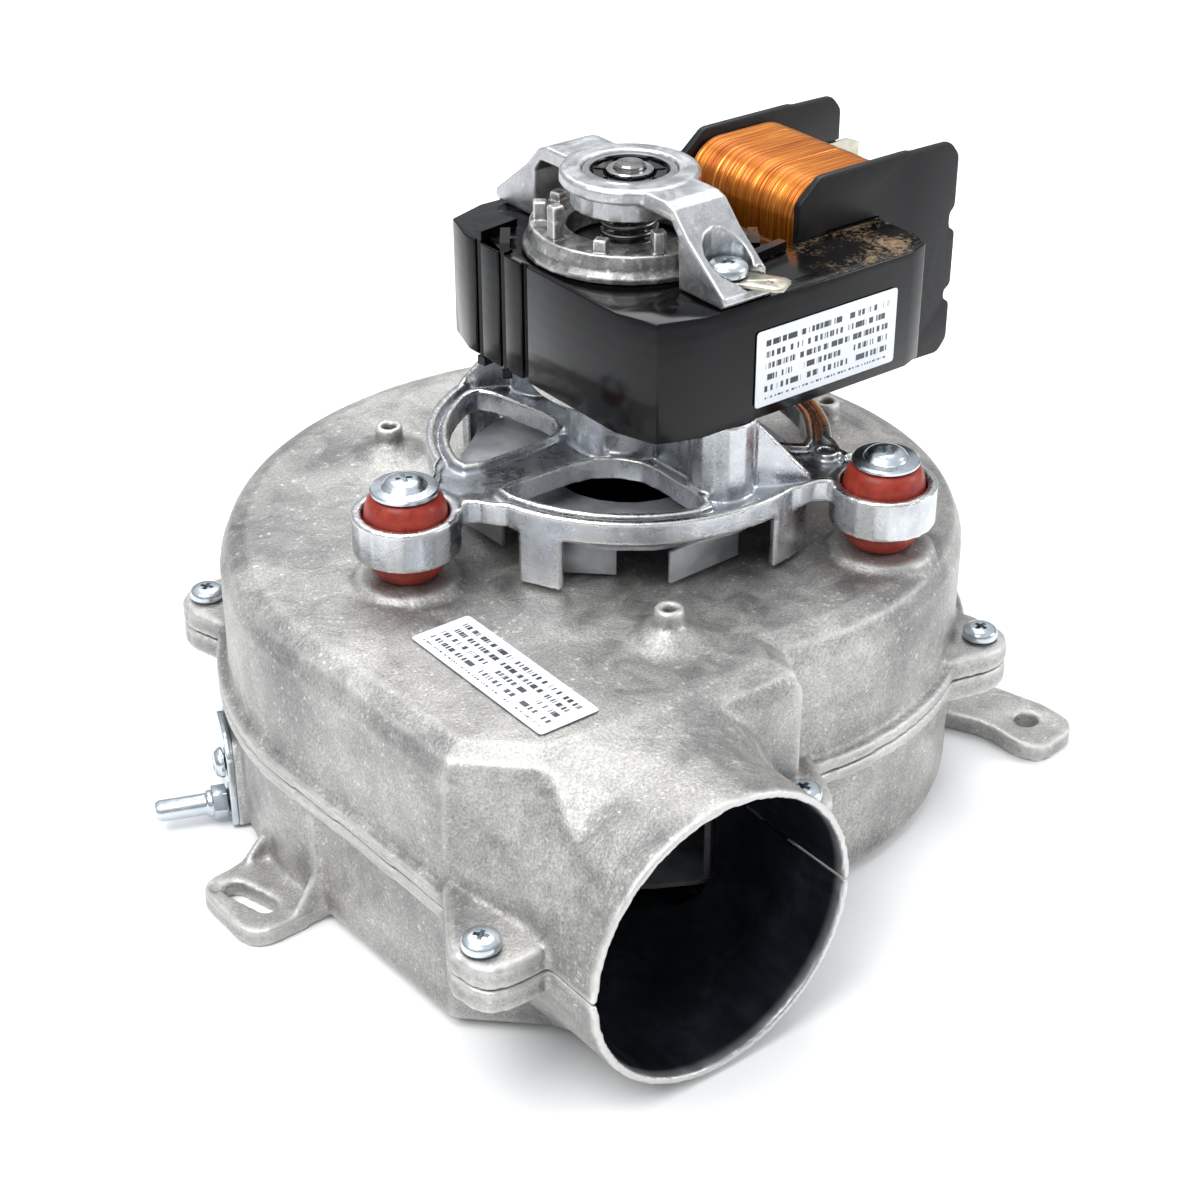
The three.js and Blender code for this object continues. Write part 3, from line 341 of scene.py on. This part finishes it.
dustCloud = addNode(tree, "TexNoise", {"Vector": place, "Scale": 120.0, "Detail": 3.0})
dustAmount = addNode(tree, "Math", {0: dustGrain.outputs["Fac"], 1: dustCloud.outputs["Fac"]}, operation="MULTIPLY")
dustShape = ramp(tree, dustAmount.outputs["Value"], [(0.24, 0.0), (0.36, 0.85)])
onTop = addNode(tree, "MapRange", {"Value": upward, "From Min": 0.7, "From Max": 0.95, "To Min": 0.0, "To Max": 1.0})
dustMask = addNode(tree, "Math", {0: nearCoil.outputs["Result"], 1: onTop.outputs["Result"]}, operation="MULTIPLY")
dust = addNode(tree, "Math", {0: dustMask.outputs["Value"], 1: dustShape}, operation="MULTIPLY")
varnish = ramp(tree, runs.outputs["Fac"], [(0.3, "#050506"), (0.7, "#0c0c0e")])
dusty = addNode(tree, "Mix", {"Factor": dust.outputs["Value"], "A": varnish, "B": linear("#8a7358")}, data_type="RGBA")
gloss = addNode(tree, "MapRange", {"Value": dust.outputs["Value"], "From Min": 0.0, "From Max": 1.0, "To Min": 0.16,
                                   "To Max": 0.8})
sheetEdge = addNode(tree, "Bump", {"Strength": 0.25, "Distance": 0.00004, "Height": layers.outputs["Fac"]})
run = addNode(tree, "Bump", {"Strength": 0.35, "Distance": 0.0004, "Height": runs.outputs["Fac"],
                             "Normal": sheetEdge.outputs["Normal"]})
tree.links.new(dusty.outputs["Result"], shader.inputs["Base Color"])
tree.links.new(gloss.outputs["Result"], shader.inputs["Roughness"])
tree.links.new(run.outputs["Normal"], shader.inputs["Normal"])
shader.inputs["IOR"].default_value = 1.52
shader.inputs["Specular IOR Level"].default_value = 0.25

# Painted shade: the inside of the duct is painted blue-black in the base colour, fading out near the mouth so that the
# rim stays bright.
material, tree, shader, place = newMaterial("ductPaintedShadeAluminium")
paintedDuctShadeSkin = material
ductShadeNoise = addNode(tree, "TexNoise", {"Vector": place, "Scale": 55.0, "Detail": 7.0, "Roughness": 0.65})
alongTube = addNode(tree, "Mapping", {"Vector": place, "Scale": (400.0, 40.0, 400.0)}).outputs["Vector"]
scratch = addNode(tree, "TexNoise", {"Vector": alongTube, "Scale": 1.0, "Detail": 3.0})
# Painted shade colours, dark blue-black, for the inside of the duct.
paintedDuctShade = ramp(tree, ductShadeNoise.outputs["Fac"], [(0.3, "#1d2127"), (0.55, "#363c45"), (0.75, "#5a626c")])
spot = addNode(tree, "SeparateXYZ", {"Vector": place})
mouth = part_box("upper_casing")[0].y
nearRim = addNode(tree, "MapRange", {"Value": spot.outputs["Y"], "From Min": mouth + 0.0012, "From Max": mouth + 0.0032,
                                     "To Min": 1.0, "To Max": 0.0}, interpolation_type="SMOOTHSTEP")
rimmed = addNode(tree, "Mix", {"Factor": nearRim.outputs["Result"], "A": paintedDuctShade, "B": linear("#a9aaac")},
                 data_type="RGBA")
rough = addNode(tree, "MapRange", {"Value": scratch.outputs["Fac"], "From Min": 0.3, "From Max": 0.7, "To Min": 0.28,
                                   "To Max": 0.5})
bump = addNode(tree, "Bump", {"Strength": 0.4, "Distance": 0.0001, "Height": scratch.outputs["Fac"]})
tree.links.new(rimmed.outputs["Result"], shader.inputs["Base Color"])
tree.links.new(rough.outputs["Result"], shader.inputs["Roughness"])
tree.links.new(bump.outputs["Normal"], shader.inputs["Normal"])
shader.inputs["Metallic"].default_value = 0.75

# Enamelled copper wire: clear amber enamel over bright copper, each turn catching its own light.
material, tree, shader, place = newMaterial("enamelledCopperWire")
copperSkin = material
acrossTurns = addNode(tree, "Mapping", {"Vector": place, "Scale": (60.0, 2600.0, 60.0)}).outputs["Vector"]
perTurn = addNode(tree, "TexNoise", {"Vector": acrossTurns, "Scale": 1.0, "Detail": 2.0})
tone = ramp(tree, perTurn.outputs["Fac"], [(0.3, "#a8500f"), (0.55, "#d07a22"), (0.72, "#eaa03f")])
tree.links.new(tone, shader.inputs["Base Color"])
shader.inputs["Metallic"].default_value = 0.85
shader.inputs["Roughness"].default_value = 0.3
shader.inputs["Coat Weight"].default_value = 0.5
shader.inputs["Coat Roughness"].default_value = 0.1


# Printed label film: a white ground with rows of grey dashes that stand for print, with no letters.
def labelSkin(name, corner, along, across, rowPitch, size):
    material, tree, shader, place = newMaterial(name)
    shifted = addNode(tree, "VectorMath", {0: place, 1: corner}, operation="SUBTRACT").outputs["Vector"]
    split = addNode(tree, "SeparateXYZ", {"Vector": shifted})
    run = addNode(tree, "Math", {0: split.outputs[along], 1: 1000.0}, operation="MULTIPLY").outputs["Value"]
    rise = addNode(tree, "Math", {0: split.outputs[across], 1: 1000.0 / rowPitch},
                   operation="MULTIPLY").outputs["Value"]
    row = addNode(tree, "Math", {0: rise}, operation="FLOOR").outputs["Value"]
    inRow = addNode(tree, "Math", {0: rise}, operation="FRACT").outputs["Value"]
    band = addNode(tree, "Math", {0: inRow, 1: 0.5, 2: 0.26}, operation="COMPARE").outputs["Value"]
    dashPlace = addNode(tree, "Math", {0: run, 1: 1.4}, operation="MULTIPLY").outputs["Value"]
    rowPlace = addNode(tree, "Math", {0: row, 1: 7.3}, operation="MULTIPLY").outputs["Value"]
    cell = addNode(tree, "CombineXYZ", {"X": dashPlace, "Y": rowPlace})
    dashes = addNode(tree, "TexNoise", {"Vector": cell.outputs["Vector"], "Scale": 1.0, "Detail": 2.0})
    ink = addNode(tree, "Math", {0: dashes.outputs["Fac"], 1: 0.5}, operation="GREATER_THAN").outputs["Value"]
    printed = addNode(tree, "Math", {0: ink, 1: band}, operation="MULTIPLY").outputs["Value"]
    longEnds = addNode(tree, "Math", {0: run, 1: size[0] / 2, 2: size[0] / 2 - 2.2}, operation="COMPARE")
    fromEdge = addNode(tree, "Math", {0: rise, 1: rowPitch}, operation="MULTIPLY").outputs["Value"]
    sideEnds = addNode(tree, "Math", {0: fromEdge, 1: size[1] / 2, 2: size[1] / 2 - 1.4}, operation="COMPARE")
    inside = addNode(tree, "Math", {0: longEnds.outputs["Value"], 1: sideEnds.outputs["Value"]}, operation="MULTIPLY")
    shown = addNode(tree, "Math", {0: printed, 1: inside.outputs["Value"]}, operation="MULTIPLY").outputs["Value"]
    paper = addNode(tree, "TexNoise", {"Vector": place, "Scale": 60.0, "Detail": 3.0})
    ground = ramp(tree, paper.outputs["Fac"], [(0.3, "#dde3ea"), (0.7, "#eef1f5")])
    mixed = addNode(tree, "Mix", {"Factor": shown, "A": ground, "B": linear("#3b3d42")}, data_type="RGBA")
    creases = addNode(tree, "Bump", {"Strength": 0.3, "Distance": 0.0002, "Height": paper.outputs["Fac"]})
    tree.links.new(mixed.outputs["Result"], shader.inputs["Base Color"])
    tree.links.new(creases.outputs["Normal"], shader.inputs["Normal"])
    shader.inputs["Roughness"].default_value = 0.35
    shader.inputs["IOR"].default_value = 1.5
    return material


print("materials ready")


viewpoint = {
    "azimuth": -37.45,
    "elevation": 30.7,
    "standpoint": (-269.7, -342.2, 295.8),  # mm, measured from the shaft's foot
    "lens": 70.24,
}
turn, tilt = math.radians(viewpoint["azimuth"]), math.radians(viewpoint["elevation"])
back = Vector((math.sin(turn) * math.cos(tilt), -math.cos(turn) * math.cos(tilt), math.sin(tilt)))
camera = bpy.data.objects.new("camera", bpy.data.cameras.new("camera"))
camera.location = toFrame @ Vector(viewpoint["standpoint"])
camera.rotation_mode = "QUATERNION"
camera.rotation_quaternion = (-back).to_track_quat("-Z", "Y")
camera.data.lens = viewpoint["lens"]
camera.data.sensor_width = 36
camera.data.clip_start, camera.data.clip_end = 0.01, 20
bpy.context.scene.collection.objects.link(camera)
bpy.context.scene.camera = camera

floorMesh = bmesh.new()
bmesh.ops.create_grid(floorMesh, x_segments=1, y_segments=1, size=4)
bmesh.ops.translate(floorMesh, vec=(0, 0, -0.0002), verts=floorMesh.verts)
floorData = bpy.data.meshes.new("floor")
floorMesh.to_mesh(floorData)
floorMesh.free()
floor = bpy.data.objects.new("floor", floorData)
bpy.context.scene.collection.objects.link(floor)
floorPaint = bpy.data.materials.new("paleFloor")
floorPaint.use_nodes = True
floorPaint.node_tree.nodes["Principled BSDF"].inputs["Base Color"].default_value = (0.93, 0.93, 0.93, 1)
floorPaint.node_tree.nodes["Principled BSDF"].inputs["Roughness"].default_value = 0.95
floorPaint.node_tree.nodes["Principled BSDF"].inputs["Specular IOR Level"].default_value = 0.1
floorData.materials.append(floorPaint)

lamps = {
    "keyLight": {"spot": (-0.50, -0.10, 0.80), "size": 0.55, "power": 6.0},
    "topLight": {"spot": (0.25, 0.40, 0.90), "size": 0.60, "power": 5.0},
    "sideLight": {"spot": (0.70, -0.55, 0.40), "size": 0.35, "power": 2.5},
}
for name, lampLook in lamps.items():
    light = bpy.data.lights.new(name, "AREA")
    light.size, light.energy = lampLook["size"], lampLook["power"]
    lamp = bpy.data.objects.new(name, light)
    lamp.location = lampLook["spot"]
    lamp.rotation_mode = "QUATERNION"
    lamp.rotation_quaternion = (Vector((0, 0, 0.06)) - Vector(lampLook["spot"])).to_track_quat("-Z", "Y")
    bpy.context.scene.collection.objects.link(lamp)

# A white tent that is open round the sides: bright above, darker towards the horizon, so that metal has contrast.
world = bpy.data.worlds.new("studio")
bpy.context.scene.world = world
world.use_nodes = True
worldTree = world.node_tree
direction = addNode(worldTree, "TexCoord").outputs["Generated"]
height = addNode(worldTree, "SeparateXYZ", {"Vector": direction}).outputs["Z"]
shade = addNode(worldTree, "MapRange", {"Value": height, "From Min": 0.05, "From Max": 0.75, "To Min": 0.30,
                                        "To Max": 0.98})
background = worldTree.nodes["Background"]
background.inputs["Color"].default_value = (0.93, 0.96, 1.0, 1)
worldTree.links.new(shade.outputs["Result"], background.inputs["Strength"])
bpy.context.scene.view_settings.view_transform = "Standard"
print("camera and light ready")


casingCast = {"voxel": 0.75, "smoothing": 5, "keep": 0.42}
duct = {
    "axisX": -52.8, "axisZ": 31, "bore": 28.4, "mouthY": -96.3,  # the outlet tube, which runs along Y
    "roundY": -80, "boxY": -50,  # the throat is round at one and a box at the other
    "floorZ": 1.4, "roofZ": 60.6, "leftX": -84.5, "rightX": -21.5,
    "scrollRadius": 64.7, "scrollGrowth": 0.079, "scrollStart": -100,  # mm, mm a degree, degrees
    "reach": 0.9,  # how far in front of a face the test point lies
}


# True for a point in the gas's way, from the outlet back round the scroll.
def insideDuct(point):
    if not duct["floorZ"] < point.z < duct["roofZ"]:
        return False
    fromAxis = math.hypot(point.x - duct["axisX"], point.z - duct["axisZ"])
    height = abs(point.z - duct["axisZ"])
    if point.y < duct["roundY"]:
        return fromAxis < duct["bore"] and point.y > duct["mouthY"]
    if point.y < duct["boxY"]:  # the box narrows to the tube, its left corners cut off in slopes
        share = min(1, (duct["boxY"] - point.y) / 24)
        leftWall = duct["leftX"] + 2.5 * share
        rightWall = duct["rightX"] - 2.5 * share
        slope = height - 8 + (leftWall - point.x) * 1.25
        return leftWall < point.x < rightWall and slope < 0 and fromAxis < 41 - 11 * share
    if point.y < 0 and point.x < -20:
        return point.x > -86
    angle = math.degrees(math.atan2(point.y, point.x))
    wall = duct["scrollRadius"] + duct["scrollGrowth"] * (angle - duct["scrollStart"])
    return math.hypot(point.x, point.y) < wall


# A face gets the painted duct shade when it looks towards the middle of the duct and the gas is in front of it.
def paintDuctShade(bm):
    for face in bm.faces:
        center = face.calc_center_median()
        middle = Vector((0, 0, duct["axisZ"]))
        if center.y < -40:
            middle = Vector((duct["axisX"], center.y, duct["axisZ"]))
        if face.normal.dot(middle - center) > 0 and insideDuct(center + face.normal * duct["reach"]):
            face.material_index = 1


for half in ("upper_casing", "lower_casing"):
    bm = castCopy(half, casingCast["voxel"], casingCast["smoothing"], casingCast["keep"])
    rounder(bm, (0, 0, 0), "Z", 10, 56, 95, first=-100.0, last=180.0)
    paintDuctShade(bm)
    finished(bm, half + "_casting", "housing", "die_cast_casing", [casingSkin, paintedDuctShadeSkin], half, sharper=80)
print("casing ready")


# A cross-head screw standing on z = 0: pan head, or a washer head when flange is given.
def crossHeadScrew(shape):
    head, height, shank, length = shape["head"], shape["height"], shape["shank"], shape["length"]
    profile = [(0, -length), (shank * 0.6, -length), (shank, -length + 1.5)]
    threads = int((length - 3) / shape["pitch"])
    for i in range(threads):
        z = -length + 1.6 + i * shape["pitch"]
        profile += [(shank, z), (shank + 0.25, z + shape["pitch"] * 0.5)]
    profile += [(shank, -0.4), (shank, 0)]
    if shape.get("flange"):
        rim = shape["flange"]
        profile += [(rim - 0.25, 0), (rim, 0.25), (rim, 0.75), (rim - 0.35, 1.05), (head + 0.3, 1.3), (head, 1.7)]
    else:
        profile += [(head - 0.2, 0), (head, 0.25)]
    for i in range(1, 7):
        angle = math.radians(15 * i)
        profile.append((head * math.cos(angle) ** 0.55, height * (0.45 + 0.55 * math.sin(angle))))
    bm = spun(profile[:-1] + [(0, height)], 40)
    wing = head * 0.56
    for quarter in (0, 90):
        tool = brick((-wing, -0.52, height - 1.7), (wing, 0.52, height + 2))
        for vert in tool.verts:
            if vert.co.z < height:
                vert.co.x *= 0.45
                vert.co.y *= 0.8
        bm = carved(bm, turned(tool, quarter))
    return bm


screwShapes = {
    "casing_screw": {"head": 3.7, "height": 2.5, "shank": 1.75, "length": 9.7, "pitch": 1.4},
    "grommet_screw": {"head": 4.3, "height": 2.95, "shank": 1.75, "length": 25.9, "pitch": 1.4, "flange": 6.86},
    "bridge_screw": {"head": 4.0, "height": 2.7, "shank": 1.8, "length": 38.0, "pitch": 1.0},
}
random.seed(4)
for nodeName in sorted(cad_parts):
    kind = next((k for k in screwShapes if nodeName.startswith(k)), None)
    if kind is None:
        continue
    low, high = cadBox(nodeName)
    shape = screwShapes[kind]
    bm = turned(crossHeadScrew(shape), random.uniform(0, 90))
    moved(bm, (low.x + high.x) / 2, (low.y + high.y) / 2, high.z - shape["height"])
    finished(bm, nodeName + "_zinc", "housing", "zinc_plated_steel", zincSkin, nodeName, sharper=30)
print("screws ready")


for nodeName in ("tap_plate", "tap_nipple", "tap_screw"):
    finished(cadCopy(nodeName, 0.25), nodeName + "_zinc", "housing", "zinc_plated_steel", zincSkin, nodeName,
             sharper=35)


bm = castCopy("motor_bracket", 0.45, 4, 0.42)
finished(rounder(bm, (0, 0, 0), "Z", 9, 37, 44), "motor_bracket_casting", "housing", "die_cast_bracket", bracketSkin,
         "motor_bracket", sharper=80)

grommet = {"foot": 6.4, "bulge": 8.35, "neck": 5.2, "top": 6.9}
for i in (1, 2, 3):
    low, high = cadBox(f"grommet_{i}")
    z = low.z
    profile = [(3.6, z), (grommet["foot"] - 0.6, z), (grommet["foot"], z + 0.5), (7.2, z + 1.6), (8.0, z + 3.0),
               (grommet["bulge"], z + 4.7), (grommet["bulge"], z + 6.7), (8.0, z + 7.2), (grommet["neck"], z + 7.35),
               (grommet["neck"], z + 10.6), (8.0, z + 10.7), (grommet["bulge"], z + 11.2), (8.3, z + 13.2),
               (8.0, z + 15.0), (7.5, z + 16.4), (grommet["top"], z + 17.3), (6.4, z + 17.6), (3.6, z + 17.6), (3.6, z)]
    bm = moved(spun(profile, 56), (low.x + high.x) / 2, (low.y + high.y) / 2)
    finished(bm, f"grommet_{i}_silicone", "housing", "silicone_rubber", siliconeSkin, f"grommet_{i}", sharper=60)
print("bracket and grommets ready")


finished(cadCopy("stator_frame", 0.35), "stator_frame_dipped", "housing", "black_lacquered_stack", lacquerSkin,
         "stator_frame", sharper=35)
bridgeBody = castCopy("bearing_bridge", 0.3, 4, 0.5)
finished(bridgeBody, "bearing_bridge_casting", "housing", "die_cast_bracket", bridgeSkin, "bearing_bridge", sharper=80)
finished(cadCopy("bobbin", 0.3), "bobbin_moulding", "housing", "black_nylon", nylonSkin, "bobbin", sharper=35)
finished(cadCopy("earth_tab", 0.12), "earth_tab_tinned", "housing", "tinned_brass", tinSkin, "earth_tab", sharper=35)

# The coil: turns of wire laid side by side round the bobbin's tube, shown as coarse as 0.55 mm.
coil = {"wire": 0.55, "left": 28.6, "right": 57.2, "bottom": 84.0, "top": 129.6, "corner": 8.0, "depth": 5.0}
low, high = cadBox("winding")
turnsAcross = int((high.y - low.y - 0.6) / coil["wire"])
bm = bmesh.new()
random.seed(7)
points = []
for i in range(turnsAcross):
    y = low.y + 0.3 + (i + 0.5) * coil["wire"]
    lift = random.uniform(-0.16, 0.05)
    for share in (-0.42, -0.2, 0.0, 0.2, 0.42):
        points.append((y + share * coil["wire"], lift + 0.27 * math.cos(math.pi * share) - 0.27))
straightX = coil["right"] - coil["left"] - 2 * coil["corner"]
straightZ = coil["top"] - coil["bottom"] - 2 * coil["corner"]
startX, startZ = coil["left"] + coil["corner"], coil["bottom"]
ring = [bm.verts.new((startX, y, startZ - lift)) for y, lift in points]
ring += [bm.verts.new((startX, y, startZ + coil["depth"])) for y in (points[-1][0], points[0][0])]
section = ring + [bm.edges.new(pair) for pair in zip(ring, ring[1:] + ring[:1])]
corners = [(1, 0, straightX), (0, 1, straightZ), (-1, 0, straightX), (0, -1, straightZ)]
for stepX, stepZ, length in corners:
    pulled = bmesh.ops.extrude_edge_only(bm, edges=[e for e in section if isinstance(e, bmesh.types.BMEdge)])
    verts = [v for v in pulled["geom"] if isinstance(v, bmesh.types.BMVert)]
    bmesh.ops.translate(bm, vec=(stepX * length, 0, stepZ * length), verts=verts)
    section = verts + [e for e in pulled["geom"] if isinstance(e, bmesh.types.BMEdge)]
    middle = sum((v.co for v in verts), Vector()) / len(verts)
    outward = Vector((stepZ, 0, -stepX))
    edgeOfRing = max(v.co.dot(outward) for v in verts)
    centre = middle - outward * middle.dot(outward) + outward * (edgeOfRing - coil["corner"])
    spin = bmesh.ops.spin(bm, geom=section, cent=centre, axis=(0, -1, 0), angle=math.pi / 2, steps=8)
    section = spin["geom_last"]
bmesh.ops.remove_doubles(bm, verts=bm.verts, dist=0.02)
bmesh.ops.recalc_face_normals(bm, faces=bm.faces)
finished(bm, "winding_wire", "housing", "enamelled_copper", copperSkin, "winding", sharper=70)
print("coil ready")


def bearingRings(prefix):
    low, high = cadBox(prefix + "_outer_ring")
    z, top = low.z, high.z
    outer = [(7.85, z + 0.2), (8.1, z), (9.1, z), (9.5, z + 0.4), (9.5, top - 0.4), (9.1, top), (8.1, top),
             (7.85, top - 0.2), (7.85, z + 0.2)]
    finished(spun(outer, 72), prefix + "_outer_ground", "housing", "bearing_steel", bearingSkin,
             prefix + "_outer_ring", sharper=30)
    inner = [(3.16, z + 0.3), (3.4, z), (4.4, z), (4.65, z + 0.25), (4.65, top - 0.25), (4.4, top), (3.4, top),
             (3.16, top - 0.3), (3.16, z + 0.3)]
    finished(spun(inner, 48), prefix + "_inner_ground", "rotor", "bearing_steel", bearingSkin,
             prefix + "_inner_ring", sharper=30)


bearingRings("upper_bearing")
bearingRings("lower_bearing")

# Balls a little smaller than the bearing's own, which keeps them clear of the two rings.
balls = {"count": 7, "radius": 1.4, "circle": 6.25}
for prefix, body in (("upper_bearing", "upper_balls"), ("lower_bearing", "lower_balls")):
    low, high = cadBox(prefix + "_balls")
    middle = low.z + balls["radius"]
    parts = []
    for i in range(balls["count"]):
        ball = bmesh.new()
        bmesh.ops.create_uvsphere(ball, u_segments=20, v_segments=12, radius=balls["radius"])
        angle = 2 * math.pi * i / balls["count"]
        parts.append(moved(ball, balls["circle"] * math.cos(angle), balls["circle"] * math.sin(angle), middle))
    finished(joined(*parts), prefix + "_ball_ring", body, "bearing_steel", bearingSkin, sharper=60)
    crown = spun([(5.3, middle - 0.6), (7.2, middle - 0.6), (7.2, middle + 1.9), (5.3, middle + 1.9),
                  (5.3, middle - 0.6)], 56)
    for i in range(balls["count"]):
        gapTool = brick((4.8, -0.55, middle + 1.2), (7.8, 0.55, middle + 3))
        crown = carved(crown, turned(gapTool, 360 / balls["count"] * (i + 0.5)))
    finished(crown, prefix + "_crown", body, "bearing_cage", retainerSkin, prefix + "_balls", sharper=35)


finished(castCopy("rotor_top_end_ring", 0.25, 3, 0.6), "rotor_top_ring_casting", "rotor", "cast_rotor_ring", rotorSkin,
         "rotor_top_end_ring", sharper=80)
finished(cadCopy("cooling_wheel", 0.1), "cooling_wheel_stamped", "rotor", "stamped_aluminium", stampedSkin,
         "cooling_wheel", sharper=35)

# Four and a half turns of round wire between the rotor and the upper bearing.
low, high = cadBox("preload_spring")
spring = {"radius": 5.4, "wire": 0.5, "turns": 4.5}
bm = bmesh.new()
bmesh.ops.create_circle(bm, segments=12, radius=spring["wire"], cap_ends=True)
bmesh.ops.rotate(bm, matrix=Matrix.Rotation(math.radians(90), 3, "X"), verts=bm.verts)
bmesh.ops.translate(bm, vec=(spring["radius"], 0, low.z + spring["wire"]), verts=bm.verts)
rise = (high.z - low.z - 2 * spring["wire"]) / (spring["turns"] * 40)
bmesh.ops.spin(bm, geom=bm.faces[:] + bm.edges[:] + bm.verts[:], cent=(0, 0, 0), axis=(0, 0, 1), dvec=(0, 0, rise),
               angle=2 * math.pi * spring["turns"], steps=int(spring["turns"] * 40))
bmesh.ops.recalc_face_normals(bm, faces=bm.faces)
finished(bm, "preload_spring_wire", "rotor", "plain_steel", steelSkin, "preload_spring", sharper=60)
print("rotor ready")


for nodeName, along, across in (("motor_label", "X", "Z"), ("casing_label", "Y", "X")):
    low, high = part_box(nodeName)
    size = (high - low) * 1000
    spans = {"X": size.x, "Y": size.y, "Z": size.z}
    skin = labelSkin(nodeName.replace("_label", "LabelFilm"), tuple(low), along, across, 2.4,
                     (spans[along], spans[across]))
    finished(cadCopy(nodeName, 0.05), nodeName + "_film", "housing", "label_paper", skin, nodeName, sharper=35)


kept = {
    "coil_leg": laminationSkin, "rotor_core": laminationSkin, "shaft": steelSkin, "rotor_bottom_end_ring": rotorSkin,
    "cooling_wheel_clip": steelSkin, "impeller_back_plate": stampedSkin, "impeller_blade_ring": stampedSkin,
    "impeller_hub": steelSkin, "impeller_nut": zincSkin,
    "impeller_washer": zincSkin, "terminal_1": tinSkin, "terminal_2": tinSkin,
}
for nodeName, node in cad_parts.items():
    if node.hide_render:
        continue
    skin = kept.get(nodeName)
    if nodeName.startswith("grommet_sleeve"):
        skin = steelSkin
    if nodeName.startswith("shading_ring"):
        skin = lacquerSkin
    if skin is None:
        print("no finish for", nodeName)
        continue
    node.data.materials.clear()
    node.data.materials.append(skin)

print("all pieces ready")
